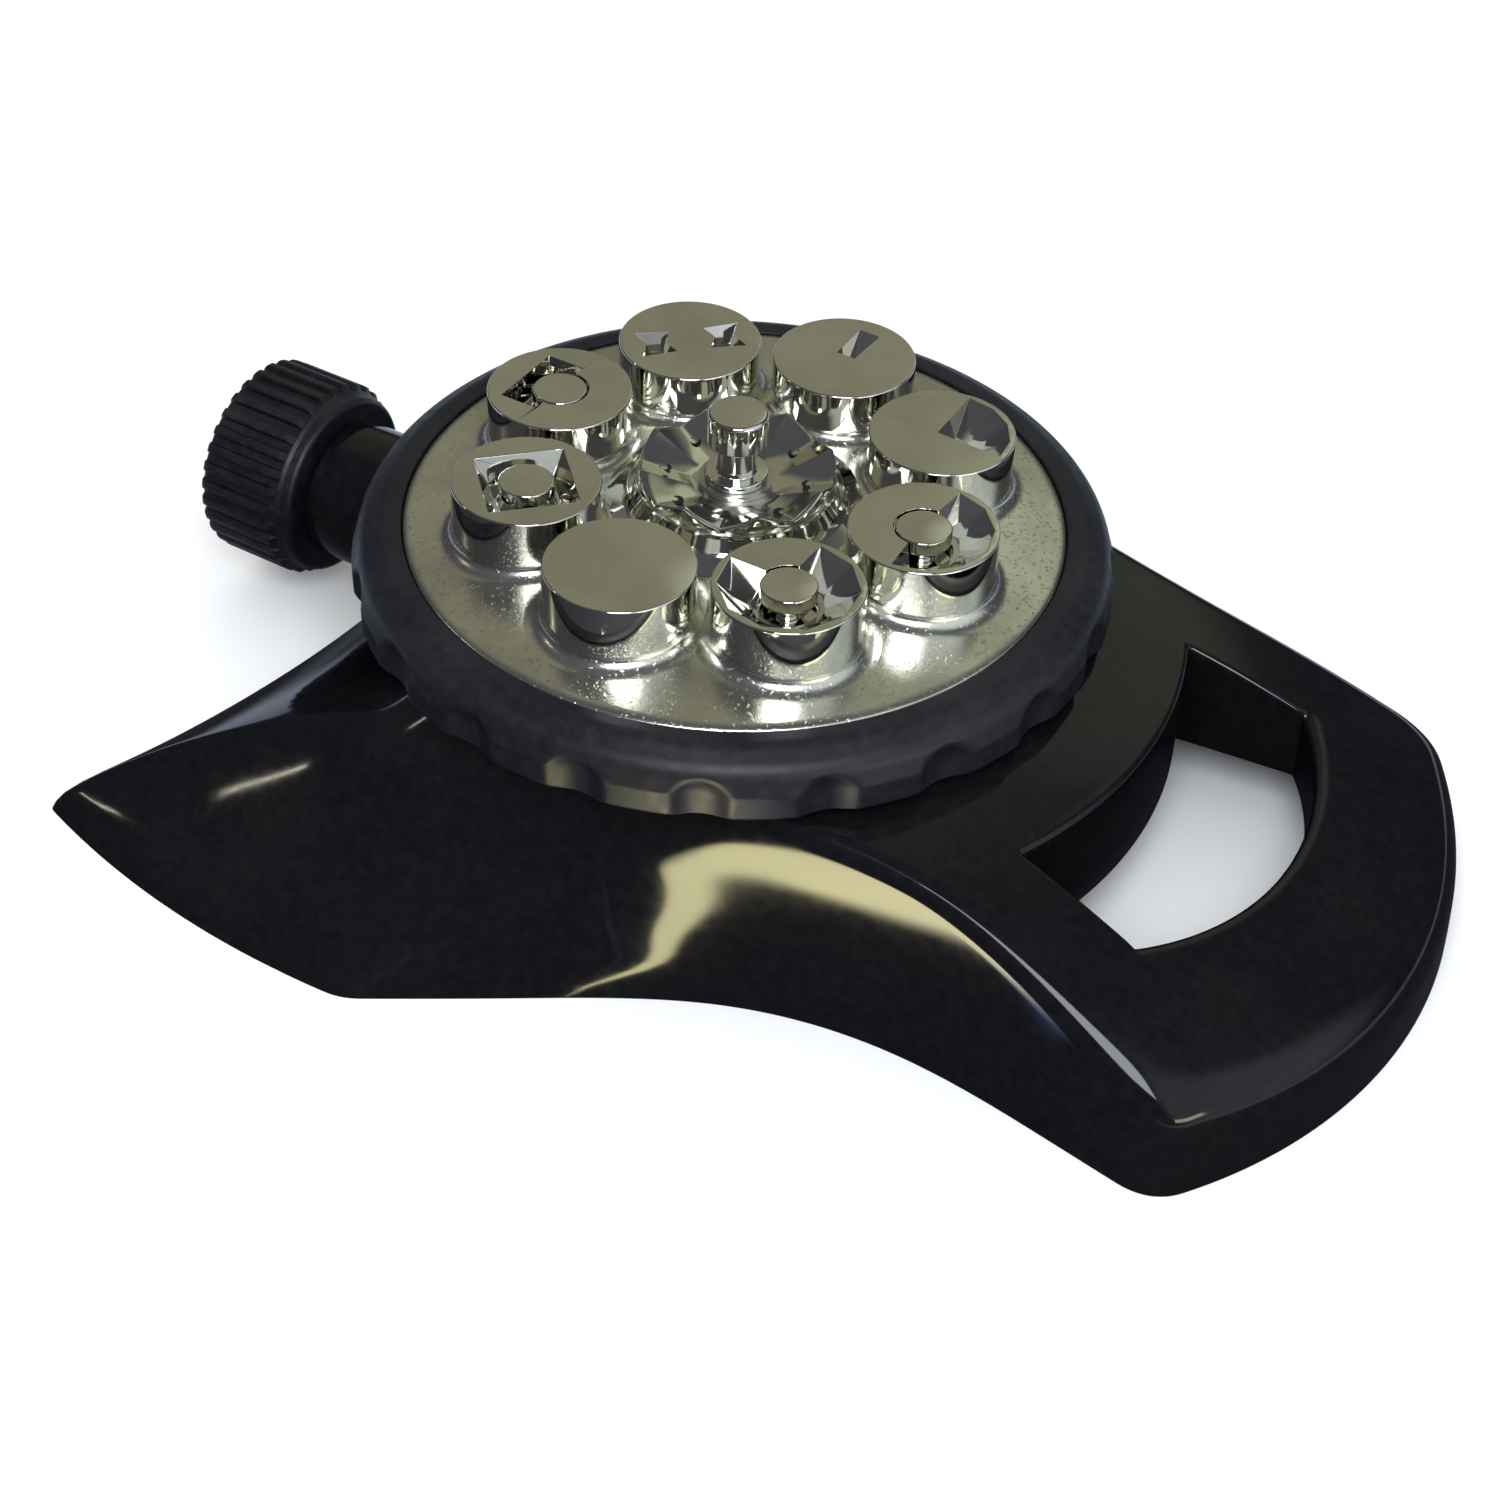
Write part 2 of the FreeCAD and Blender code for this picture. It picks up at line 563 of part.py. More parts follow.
def scaled_frustum(points, depth, share, middle=(0.0, 0.0)):
    """Recess that narrows towards a middle point as it goes down."""
    bottom = [(middle[0] + share * (x - middle[0]), middle[1] + share * (y - middle[1]))
              for x, y in points]
    return frustum(points, bottom, depth)


def sector(radius, half_angle, apex, steps):
    """Outline of a sector that opens away from the head's axis."""
    points = [(apex, 0.0)]
    for number in range(steps + 1):
        turn = math.radians(-half_angle + 2 * half_angle * number / steps)
        points.append((radius * math.cos(turn), radius * math.sin(turn)))
    return points


def recess(kind):
    """Spray recess of one nozzle, with +X pointing away from the head's axis."""
    if kind == "twin_jet":
        bow = [(-2.2, 3.2), (0.0, 4.2), (2.2, 3.2), (2.6, 8.2), (0.0, 7.2), (-2.6, 8.2)]
        other = [(x, -y) for x, y in bow[::-1]]
        return scaled_frustum(bow, 3.0, 0.55, (0, 5.6)).fuse(
            scaled_frustum(other, 3.0, 0.55, (0, -5.6)))
    if kind == "single_jet":
        return frustum([(0.5, -1.7), (8.6, -1.9), (8.6, 1.9), (0.5, 1.7)],
                       [(0.5, -1.3), (4.0, -1.3), (4.0, 1.3), (0.5, 1.3)], 3.4)
    if kind == "quarter_circle":
        return scaled_frustum(sector(10.4, 50.0, -0.8, 4), RECESS_DEPTH, 0.45, (1.0, 0))
    if kind == "half_circle":
        return scaled_frustum(sector(10.4, 88.0, -0.5, 6), RECESS_DEPTH, 0.52, (0.5, 0))
    if kind == "full_circle":
        return scaled_frustum(sector(10.4, 140.0, -1.5, 8), RECESS_DEPTH, 0.52)
    if kind == "square":
        half = 7.3
        corners = [(-half, -half), (half, -half), (half, half), (-half, half)]
        return scaled_frustum(corners, RECESS_DEPTH, 0.72)
    half = 6.9
    return scaled_frustum([(0.0, -half), (half, -half), (half, half), (0.0, half)],
                          RECESS_DEPTH, 0.8, (2.0, 0))


PLUGGED = ("half_circle", "full_circle", "square", "half_square")


def nozzle(kind, angle):
    """Round nozzle cup with a flange under the plate."""
    flange_low = CARRIER_TOP + FIT_GAP
    cup = revolved([(0, flange_low), (NOZZLE_FLANGE_RADIUS, flange_low),
                    (NOZZLE_FLANGE_RADIUS, flange_low + 1.3), (NOZZLE_RADIUS, flange_low + 1.3),
                    (NOZZLE_RADIUS, NOZZLE_TOP - 0.5), (NOZZLE_RADIUS - 0.5, NOZZLE_TOP),
                    (0, NOZZLE_TOP)])
    if kind != "blank":
        chamber = cylinder(NOZZLE_CHAMBER_RADIUS, 40, NOZZLE_CHAMBER_TOP)
        cup = cup.cut(chamber).cut(recess(kind))
    if kind in PLUGGED:
        outlet = cylinder(PLUG_RADIUS + 0.3, 50, NOZZLE_TOP + 1)
        cup = cup.cut(outlet)
    elif kind == "twin_jet":
        for way in (-1, 1):
            cup = cup.cut(cylinder(0.9, 50, NOZZLE_TOP, vec(0, way * 5.4)))
    elif kind != "blank":
        cup = cup.cut(cylinder(1.2, 50, NOZZLE_TOP, vec(2.2, 0)))
    return placed(cup, angle)


def placed(shape, angle):
    """Moves a nozzle's piece from the axis to its place in the head."""
    shape.translate(vec(NOZZLE_PITCH_RADIUS, 0, 0))
    shape.rotate(ORIGIN, Z_AXIS, angle)
    return shape


def deflector(angle):
    """Round plug on a three-armed foot that holds it in the nozzle's outlet."""
    foot_low = CARRIER_TOP + 0.1
    plug = revolved([(0, foot_low), (1.8, foot_low), (1.8, NOZZLE_TOP - 5.0),
                     (PLUG_RADIUS - 0.9, NOZZLE_TOP - 3.4), (PLUG_RADIUS, NOZZLE_TOP - 2.2),
                     (PLUG_RADIUS, NOZZLE_TOP - 0.3), (PLUG_RADIUS - 0.3, NOZZLE_TOP),
                     (0, NOZZLE_TOP)])
    arm = Part.makeBox(NOZZLE_CHAMBER_RADIUS - FIT_GAP - 0.2, 1.4, 6.0, vec(0, -0.7, foot_low))
    return placed(fused([plug] + all_round(arm, 3)), angle)


def center_rosette():
    """Raised boss with a fluted bowl of eight petals and a spray hole in each."""
    low = CARRIER_TOP + FIT_GAP
    skirt = ROSETTE_SKIRT_RADIUS
    seat = dome_height(skirt) + FIT_GAP
    boss = revolved([(BUSH_RADIUS + 0.02, low), (ROSETTE_RADIUS - 0.6, low),
                     (ROSETTE_RADIUS - 0.6, dome_height(ROSETTE_RADIUS) + FIT_GAP),
                     (skirt, seat), (skirt, seat + 0.2), (skirt - 2.2, seat + 0.9),
                     (ROSETTE_RADIUS + 1.0, seat + 2.6), (ROSETTE_RADIUS, seat + 5.0),
                     (ROSETTE_RADIUS, ROSETTE_TOP - 0.5), (ROSETTE_RADIUS - 0.5, ROSETTE_TOP),
                     (ROSETTE_RADIUS - 0.9, ROSETTE_TOP), (ROSETTE_HUB_RADIUS, ROSETTE_FLOOR),
                     (BUSH_RADIUS + 0.02, ROSETTE_FLOOR)])
    cuts = []
    half_width = 3.1
    outer = ROSETTE_RADIUS + 1.0
    for flute in all_round(flute_cutter(half_width, outer), PETALS, 180.0 / PETALS):
        cuts.append(flute)
    hole = cylinder(SPRAY_HOLE_RADIUS, low - 1, ROSETTE_TOP, vec(SPRAY_HOLE_PITCH_RADIUS, 0))
    cuts += all_round(hole, PETALS, 180.0 / PETALS)
    return boss.cut(cuts[0].multiFuse(cuts[1:]))


def flute_cutter(half_width, outer):
    """V-shaped flute from the hub out through the boss's rim."""
    rim_low = ROSETTE_TOP - 2.0
    start = vec(ROSETTE_HUB_RADIUS, 0, ROSETTE_FLOOR)
    corners = [vec(outer, 0, rim_low), vec(outer, half_width, ROSETTE_TOP + 0.5),
               vec(outer, -half_width, ROSETTE_TOP + 0.5)]
    near = [start, vec(ROSETTE_HUB_RADIUS, 0.6, ROSETTE_TOP + 0.5),
            vec(ROSETTE_HUB_RADIUS, -0.6, ROSETTE_TOP + 0.5)]
    return Part.makeLoft([Part.makePolygon(near + near[:1]),
                          Part.makePolygon(corners + corners[:1])], True, True)


def seat_ring():
    """Slippery ring that the head turns on."""
    return tube(50.0, 44.0, SEAT_HEIGHT + FIT_GAP, CARRIER_BOTTOM - FIT_GAP)


# ---- Hose nut ---------------------------------------------------------------------------

def hose_nut():
    """Swivel nut with finger ribs and a plain collar at its back."""
    groove_end = NUT_THREAD_END + 3.15
    lip = TAIL_RADIUS + PIVOT_CLEARANCE
    back_face = NUT_BACK - 1.5
    profile = [(NUT_MOUTH, NUT_THREAD_RADIUS), (NUT_MOUTH, NUT_RADIUS - 1.6),
               (NUT_MOUTH + 1.0, NUT_RADIUS - 0.6), (NUT_MOUTH + 14.4, NUT_RADIUS - 1.0),
               (NUT_MOUTH + 15.0, NUT_COLLAR_RADIUS), (NUT_BACK - 0.8, NUT_COLLAR_RADIUS - 0.3),
               (NUT_BACK, NUT_COLLAR_RADIUS - 1.1), (NUT_BACK, lip), (back_face, lip),
               (back_face, NUT_THREAD_RADIUS + 0.9), (groove_end - 3.15, NUT_THREAD_RADIUS + 0.9),
               (groove_end - 3.15, NUT_THREAD_RADIUS)]
    nut = revolved_about_inlet(profile)
    rib = Part.makeCylinder(NUT_RIB_RADIUS, 13.2,
                            vec(NUT_MOUTH + 0.9, 0, INLET_HEIGHT + NUT_RADIUS - NUT_RIB_RADIUS),
                            X_AXIS)
    ribs = []
    for number in range(NUT_RIBS):
        copy = rib.copy()
        copy.rotate(vec(0, 0, INLET_HEIGHT), X_AXIS, 360.0 * number / NUT_RIBS)
        ribs.append(copy)
    return nut.multiFuse(ribs).removeSplitter()


def hose_washer():
    start = NUT_THREAD_END + 0.1
    return revolved_about_inlet([(start, PIPE_BORE_RADIUS + 0.3), (start, NUT_THREAD_RADIUS + 0.6),
                                 (start + 2.9, NUT_THREAD_RADIUS + 0.6),
                                 (start + 2.9, PIPE_BORE_RADIUS + 0.3)])


def inlet_screen():
    """Pierced strainer disc in the washer."""
    start = NUT_THREAD_END + 1.3
    disc = pipe_along_x(PIPE_BORE_RADIUS + 0.25, start, start + 0.5)
    cuts = []
    for row, count in ((0.0, 1), (2.2, 6), (4.4, 12)):
        for number in range(count):
            turn = 2 * math.pi * number / count
            cuts.append(Part.makeCylinder(0.75, 3.0, vec(start - 1, row * math.cos(turn),
                                          INLET_HEIGHT + row * math.sin(turn)), X_AXIS))
    return disc.cut(cuts[0].multiFuse(cuts[1:]))


# ---- All pieces -------------------------------------------------------------------------

def main():
    os.makedirs("parts", exist_ok=True)
    port = port_place()
    save("base_shell", base_shell())
    save("port_housing", port_housing())
    save("housing_screws", housing_screws())
    save("port_seal", port_seal())
    save("port_spring", coil_spring(6.6, 0.55, INLET_HEIGHT + PIPE_BORE_RADIUS - 1.5, 33.4, 4, port))
    save("inlet_pipe", inlet_pipe())
    save("inlet_o_ring", ring_about_inlet(SPIGOT_END - 4.9, SPIGOT_RADIUS - 0.75, 0.7))
    save("swivel_tail", swivel_tail())
    save("seat_ring", seat_ring())
    save("detent_ball", detent_ball())
    save("detent_spring", coil_spring(1.9, 0.3, DETENT_POCKET_FLOOR + 0.05,
                                      DETENT_BALL_HEIGHT - DETENT_BALL_RADIUS + 0.45, 6,
                                      detent_place()))
    save("pivot_stud", pivot_stud())
    save("pivot_nut", pivot_nut())
    save("pivot_washer", pivot_washer())
    save("thrust_washer", thrust_washer())
    save("pivot_bush", pivot_bush())
    save("grip_ring", grip_ring())
    save("dial_plate", dial_plate())
    save("dial_carrier", dial_carrier())
    save("carrier_screws", carrier_screws())
    save("nozzle_gaskets", nozzle_gaskets())
    save("center_rosette", center_rosette())
    for kind, angle in zip(NOZZLES, NOZZLE_ANGLES):
        save("nozzle_" + kind, nozzle(kind, angle))
        if kind in PLUGGED:
            save("deflector_" + kind, deflector(angle))
    save("hose_nut", hose_nut())
    save("hose_washer", hose_washer())
    save("inlet_screen", inlet_screen())


main()
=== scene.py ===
import json
import math

import bmesh
import bpy
import numpy as np
from bpy.props import FloatProperty, FloatVectorProperty, IntProperty, PointerProperty
from mathutils import Matrix, Vector


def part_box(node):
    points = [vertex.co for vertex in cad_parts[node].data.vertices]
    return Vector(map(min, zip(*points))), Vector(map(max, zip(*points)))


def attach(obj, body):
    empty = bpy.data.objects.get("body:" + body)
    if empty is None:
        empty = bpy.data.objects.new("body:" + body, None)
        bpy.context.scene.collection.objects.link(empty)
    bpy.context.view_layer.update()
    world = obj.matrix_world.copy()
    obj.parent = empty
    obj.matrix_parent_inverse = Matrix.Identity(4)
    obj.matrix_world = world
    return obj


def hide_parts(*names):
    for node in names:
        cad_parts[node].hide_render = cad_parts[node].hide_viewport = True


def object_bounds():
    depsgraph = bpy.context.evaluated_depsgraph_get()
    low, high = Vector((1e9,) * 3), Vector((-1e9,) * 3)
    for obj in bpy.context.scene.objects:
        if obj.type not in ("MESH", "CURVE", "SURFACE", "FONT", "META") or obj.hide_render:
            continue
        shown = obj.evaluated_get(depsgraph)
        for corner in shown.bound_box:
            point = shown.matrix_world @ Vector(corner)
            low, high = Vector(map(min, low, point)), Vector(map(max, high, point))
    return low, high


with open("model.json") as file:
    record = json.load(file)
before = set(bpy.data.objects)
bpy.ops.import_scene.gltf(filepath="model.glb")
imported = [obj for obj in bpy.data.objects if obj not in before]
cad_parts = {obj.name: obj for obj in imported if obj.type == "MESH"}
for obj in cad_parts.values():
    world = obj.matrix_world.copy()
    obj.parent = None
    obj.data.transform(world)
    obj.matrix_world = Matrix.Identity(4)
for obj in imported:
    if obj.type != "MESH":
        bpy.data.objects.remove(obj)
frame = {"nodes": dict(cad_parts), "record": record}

bl_info = {
    "name": "Lawn Dial Sprinkler",
    "version": (1, 0, 0),
    "blender": (4, 5, 0),
    "location": "3D View > Sidebar > Sprinkler",
    "description": "Builds a lawn sprinkler with a turning dial of spray nozzles on a sled base",
    "category": "Add Mesh",
}

# Shapes are worked out in millimetres about the head's axis at ground level
MM = 0.001
CAD_BOX = [list(corner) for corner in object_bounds()]


def middle(node):
    low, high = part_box(node)
    return (low + high) / 2


HEAD_X = middle("pivot_stud").x
INLET_HEIGHT = middle("inlet_pipe").z / MM
NOZZLES = ("twin_jet", "single_jet", "quarter_circle", "half_circle",
           "full_circle", "blank", "square", "half_square")


# ---- Settings ---------------------------------------------------------------------------

class BaseSettings(bpy.types.PropertyGroup):
    """Sizes and colour of the sled base."""
    wall: FloatProperty(name="Wall", description="Thickness of the moulded shell",
                        default=0.003, min=0.001, unit="LENGTH")
    slot_edge: FloatProperty(name="Slot edge", description="Rounding round the finger slot",
                             default=0.0012, unit="LENGTH")
    spacing: FloatProperty(name="Spacing", description="Length of one mesh face on the outside",
                           default=0.0009, unit="LENGTH")
    colour: FloatVectorProperty(name="Colour", description="Colour of the glossy moulding",
                                default=(0.0035, 0.0035, 0.0045), size=3, min=0, max=1,
                                subtype="COLOR")


class HeadSettings(bpy.types.PropertyGroup):
    """Sizes and colours of the turning head."""
    ring_radius: FloatProperty(name="Ring radius", description="Outside of the grip ring",
                               default=0.0623, unit="LENGTH")
    scallops: IntProperty(name="Scallops", description="Finger hollows round the grip ring",
                          default=20, min=3)
    plate_radius: FloatProperty(name="Plate radius", description="Outside of the domed plate",
                                default=0.054, unit="LENGTH")
    nozzle_radius: FloatProperty(name="Nozzle radius", description="Outside of a nozzle cup",
                                 default=0.012, unit="LENGTH")
    petals: IntProperty(name="Petals", description="Flutes round the middle boss",
                        default=8, min=3)
    ring_colour: FloatVectorProperty(name="Ring colour", description="Colour of the grip ring",
                                     default=(0.0055, 0.006, 0.010), size=3, min=0, max=1,
                                     subtype="COLOR")
    plating_colour: FloatVectorProperty(name="Plating", description="Colour of the bright plating",
                                        default=(0.74, 0.74, 0.66), size=3, min=0, max=1,
                                        subtype="COLOR")


class HoseSettings(bpy.types.PropertyGroup):
    """Sizes and colour of the hose end."""
    neck_radius: FloatProperty(name="Neck radius", description="Outside of the inlet neck",
                               default=0.0125, unit="LENGTH")
    nut_radius: FloatProperty(name="Nut radius", description="Outside of the nut over its ribs",
                              default=0.0178, unit="LENGTH")
    ribs: IntProperty(name="Ribs", description="Finger ribs round the nut", default=32, min=6)
    thread_pitch: FloatProperty(name="Thread pitch", description="Rise of the hose thread",
                                default=0.00221, unit="LENGTH")
    colour: FloatVectorProperty(name="Colour", description="Colour of the nut",
                                default=(0.004, 0.004, 0.007), size=3, min=0, max=1,
                                subtype="COLOR")


class StageSettings(bpy.types.PropertyGroup):
    """Floor, light and camera."""
    lens: FloatProperty(name="Lens", description="Focal length on a 36 mm wide sensor",
                        default=71.7, min=10)
    camera_turn: FloatProperty(name="Camera turn", description="Camera's angle round the part",
                               default=math.radians(30.0), subtype="ANGLE")
    camera_rise: FloatProperty(name="Camera rise", description="Camera's angle over the floor",
                               default=math.radians(41.0), subtype="ANGLE")
    camera_roll: FloatProperty(name="Camera roll", description="Camera's tilt to one side",
                               default=math.radians(2.27), subtype="ANGLE")
    camera_distance: FloatProperty(name="Camera distance", description="From the point looked at",
                                   default=0.4855, unit="LENGTH")
    floor_colour: FloatVectorProperty(name="Floor", description="Colour of the floor",
                                      default=(0.90, 0.905, 0.91), size=3, min=0, max=1,
                                      subtype="COLOR")


# ---- Mesh helpers -----------------------------------------------------------------------

def grid_faces(rows, columns, wrap=True, start=0):
    """Quads between neighbouring rows of points."""
    across = columns if wrap else columns - 1
    return [(start + i * columns + j, start + i * columns + (j + 1) % columns,
             start + (i + 1) * columns + (j + 1) % columns, start + (i + 1) * columns + j)
            for i in range(rows - 1) for j in range(across)]


def rounded(corners, steps=5):
    """Corners (x, y, rounding) joined into an outline whose corners are arcs."""
    outline = []
    last = len(corners) - 1
    for number, (x, y, radius) in enumerate(corners):
        here = np.array((x, y), float)
        if radius <= 0 or number in (0, last):
            outline.append(here)
            continue
        before = np.array(corners[number - 1][:2], float) - here
        after = np.array(corners[number + 1][:2], float) - here
        room = 0.49 * min(np.linalg.norm(before), np.linalg.norm(after))
        before /= np.linalg.norm(before)
        after /= np.linalg.norm(after)
        half = math.acos(np.clip(before @ after, -1, 1)) / 2
        cut = min(radius / math.tan(half), room)
        radius = cut * math.tan(half)
        bisector = (before + after) / np.linalg.norm(before + after)
        centre = here + bisector * radius / math.sin(half)
        first, final = here + before * cut - centre, here + after * cut - centre
        turn = math.pi - 2 * half
        for step in range(steps + 1):
            share = step / steps
            mix = (math.sin((1 - share) * turn) * first + math.sin(share * turn) * final)
            outline.append(centre + mix / math.sin(turn))
    return np.array(outline)


def even_turns(count):
    """Angles of one full turn in equal steps."""
    return np.arange(count) * 2 * math.pi / count


def upright_ring(radius, angles, height):
    """Points round the head's axis; radius and height may differ from point to point."""
    height = np.broadcast_to(height, angles.shape)
    return np.stack([radius * np.cos(angles), radius * np.sin(angles), height], 1)


def inlet_ring(x, radius, angles):
    """Points round the inlet's axis."""
    return np.stack([np.full(angles.shape, x), radius * np.cos(angles),
                     INLET_HEIGHT + radius * np.sin(angles)], 1)


def rings_joined(rings):
    """Points and faces of closed rings, each joined to the next."""
    return np.concatenate(rings), grid_faces(len(rings), len(rings[0]))


def turned(outline, steps=96, middle_xy=(0.0, 0.0)):
    """Points and faces of an outline (radius, height) turned about an upright axis."""
    points, faces = rings_joined([upright_ring(radius, even_turns(steps), height)
                                  for radius, height in outline])
    return points + (*middle_xy, 0.0), faces


def turned_about_inlet(outline, steps=96):
    """Points and faces of an outline (x, radius) turned about the inlet's axis."""
    return rings_joined([inlet_ring(x, radius, even_turns(steps)) for x, radius in outline])


def finely(outline, spacing):
    """The same outline with more points along its long stretches."""
    steps = [outline[0]]
    for point in outline[1:]:
        before = steps[-1]
        parts = max(1, int(np.linalg.norm(point - before) / spacing))
        steps += [before + (point - before) * (k + 1) / parts for k in range(parts)]
    return steps


def mesh_from(name, points, faces, sharp=35.0):
    """Mesh in metres from points in millimetres about the head's axis."""
    places = np.asarray(points, float) * MM
    places[:, 0] += HEAD_X
    mesh = bpy.data.meshes.new(name)
    mesh.from_pydata(places.tolist(), [], [tuple(int(i) for i in face) for face in faces])
    work = bmesh.new()
    work.from_mesh(mesh)
    bmesh.ops.remove_doubles(work, verts=work.verts, dist=2e-6)
    bmesh.ops.dissolve_degenerate(work, edges=work.edges, dist=1e-6)
    bmesh.ops.recalc_face_normals(work, faces=work.faces)
    work.to_mesh(mesh)
    work.free()
    mesh.shade_smooth()
    mesh.set_sharp_from_angle(angle=math.radians(sharp))
    return mesh


def add_piece(name, mesh, finish, body, stands_for=()):
    """Puts a mesh in the scene as a piece that rides on a body."""
    mesh.materials.clear()
    mesh.materials.append(finish)
    piece = bpy.data.objects.new(name, mesh)
    bpy.context.scene.collection.objects.link(piece)
    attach(piece, body)
    if stands_for:
        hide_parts(*stands_for)
    return piece


def join_shapes(*shapes):
    """Several (points, faces) as one."""
    points, faces = [], []
    for some_points, some_faces in shapes:
        faces += [tuple(i + len(points) for i in face) for face in some_faces]
        points += [tuple(p) for p in some_points]
    return points, faces


def carve(mesh, cutters, bevel=0.0, sharp=30.0):
    """Cuts closed shapes out of a mesh and breaks the new edges slightly."""
    body = bpy.data.objects.new("carving", mesh)
    tool = bpy.data.objects.new("cutter", mesh_from("cutter", *join_shapes(*cutters)))
    for each in (body, tool):
        bpy.context.scene.collection.objects.link(each)
    cut = body.modifiers.new("cut", "BOOLEAN")
    cut.operation = "DIFFERENCE"
    cut.solver = "EXACT"
    cut.use_self = True
    cut.object = tool
    if bevel > 0:
        edge = body.modifiers.new("edge", "BEVEL")
        edge.width = bevel * MM
        edge.segments = 3
        edge.limit_method = "ANGLE"
        edge.angle_limit = math.radians(sharp)
        edge.harden_normals = True
        edge.miter_outer = "MITER_ARC"
        edge.use_clamp_overlap = True
        even = body.modifiers.new("even", "WEIGHTED_NORMAL")
        even.keep_sharp = True
    graph = bpy.context.evaluated_depsgraph_get()
    graph.update()
    result = bpy.data.meshes.new_from_object(body.evaluated_get(graph))
    result.name = mesh.name
    for each in (body, tool):
        bpy.data.objects.remove(each)
    return result


def natural_spline(places, values):
    """Smooth curve through the points, as a function of place."""
    xs, ys = np.array(places, float), np.array(values, float)
    gaps = np.diff(xs)
    matrix, right = np.eye(len(xs)), np.zeros(len(xs))
    for i in range(1, len(xs) - 1):
        matrix[i, i - 1:i + 2] = gaps[i - 1], 2 * (gaps[i - 1] + gaps[i]), gaps[i]
        right[i] = 6 * ((ys[i + 1] - ys[i]) / gaps[i] - (ys[i] - ys[i - 1]) / gaps[i - 1])
    bend = np.linalg.solve(matrix, right)

    def value(x):
        inside = np.clip(x, xs[0], xs[-1])
        k = np.clip(np.searchsorted(xs, inside) - 1, 0, len(xs) - 2)
        t, gap = inside - xs[k], gaps[k]
        slope = (ys[k + 1] - ys[k]) / gap - gap * (2 * bend[k] + bend[k + 1]) / 6
        curve = ys[k] + t * slope + t * t * bend[k] / 2
        curve = curve + t ** 3 * (bend[k + 1] - bend[k]) / (6 * gap)
        end_slope = slope + t * bend[k] + t * t * (bend[k + 1] - bend[k]) / (2 * gap)
        return curve + (x - inside) * end_slope

    return value


# ---- Node groups ------------------------------------------------------------------------

class Nodes:
    """Short way to add and link nodes in one tree."""

    def __init__(self, tree):
        self.tree = tree
        self.link = tree.links.new

    def add(self, kind, inputs=(), **settings):
        node = self.tree.nodes.new(kind)
        for name, value in settings.items():
            setattr(node, name, value)
        for name, value in dict(inputs).items():
            if isinstance(value, bpy.types.NodeSocket):
                self.link(value, node.inputs[name])
            else:
                node.inputs[name].default_value = value
        return node

    def maths(self, operation, first, second=0.0, third=0.0, clamp=False):
        node = self.add("ShaderNodeMath", {0: first, 1: second, 2: third},
                        operation=operation, use_clamp=clamp)
        return node.outputs[0]

    def times(self, first, second, clamp=False):
        return self.maths("MULTIPLY", first, second, clamp=clamp)

    def ramp(self, value, low, high):
        """0 below low, 1 above high, smooth between."""
        node = self.add("ShaderNodeMapRange", {"Value": value, "From Min": low, "From Max": high},
                        interpolation_type="SMOOTHSTEP")
        return node.outputs["Result"]

    def mix(self, factor, first, second):
        node = self.add("ShaderNodeMix", data_type="RGBA")
        for socket, value in ((0, factor), (6, first), (7, second)):
            if isinstance(value, bpy.types.NodeSocket):
                self.link(value, node.inputs[socket])
            elif socket == 0:
                node.inputs[socket].default_value = value
            else:
                node.inputs[socket].default_value = (*value[:3], 1.0)
        return node.outputs[2]

    def place(self):
        """Position on the piece, in its own axes."""
        return self.add("ShaderNodeTexCoord").outputs["Object"]

    def noise(self, place, scale, detail=3.0, roughness=0.55, distortion=0.0):
        node = self.add("ShaderNodeTexNoise", {"Vector": place, "Scale": scale, "Detail": detail,
                                               "Roughness": roughness, "Distortion": distortion})
        return node.outputs["Fac"]


def new_group(name, inputs, outputs):
    """Empty node group with float inputs (name, default) and outputs (name, kind)."""
    tree = bpy.data.node_groups.new(name, "ShaderNodeTree")
    for label, default in inputs:
        socket = tree.interface.new_socket(label, in_out="INPUT", socket_type="NodeSocketFloat")
        socket.default_value = default
    for label, kind in outputs:
        tree.interface.new_socket(label, in_out="OUTPUT", socket_type=kind)
    nodes = Nodes(tree)
    return tree, nodes, nodes.add("NodeGroupInput"), nodes.add("NodeGroupOutput")


def moulded_grain_group():
    """Fine skin of a plastic moulding, with slow waves where it sank a little as it cooled."""
    tree, nodes, given, made = new_group(
        "Moulded Grain", [("Scale", 1.0), ("Grain", 0.5), ("Sink", 0.5)],
        [("Height", "NodeSocketFloat"), ("Mottle", "NodeSocketFloat")])
    place = nodes.place()
    scaled = nodes.add("ShaderNodeVectorMath", {0: place}, operation="SCALE")
    nodes.link(given.outputs["Scale"], scaled.inputs["Scale"])
    place = scaled.outputs["Vector"]
    fine = nodes.noise(place, 2600.0, 2.0)
    medium = nodes.noise(place, 520.0, 3.0)
    slow = nodes.noise(place, 26.0, 1.0)
    skin = nodes.maths("ADD", fine, nodes.times(medium, 0.6))
    skin = nodes.times(skin, given.outputs["Grain"])
    sunk = nodes.times(slow, given.outputs["Sink"])
    nodes.link(nodes.maths("ADD", skin, sunk), made.inputs["Height"])
    nodes.link(nodes.ramp(medium, 0.35, 0.7), made.inputs["Mottle"])
    return tree


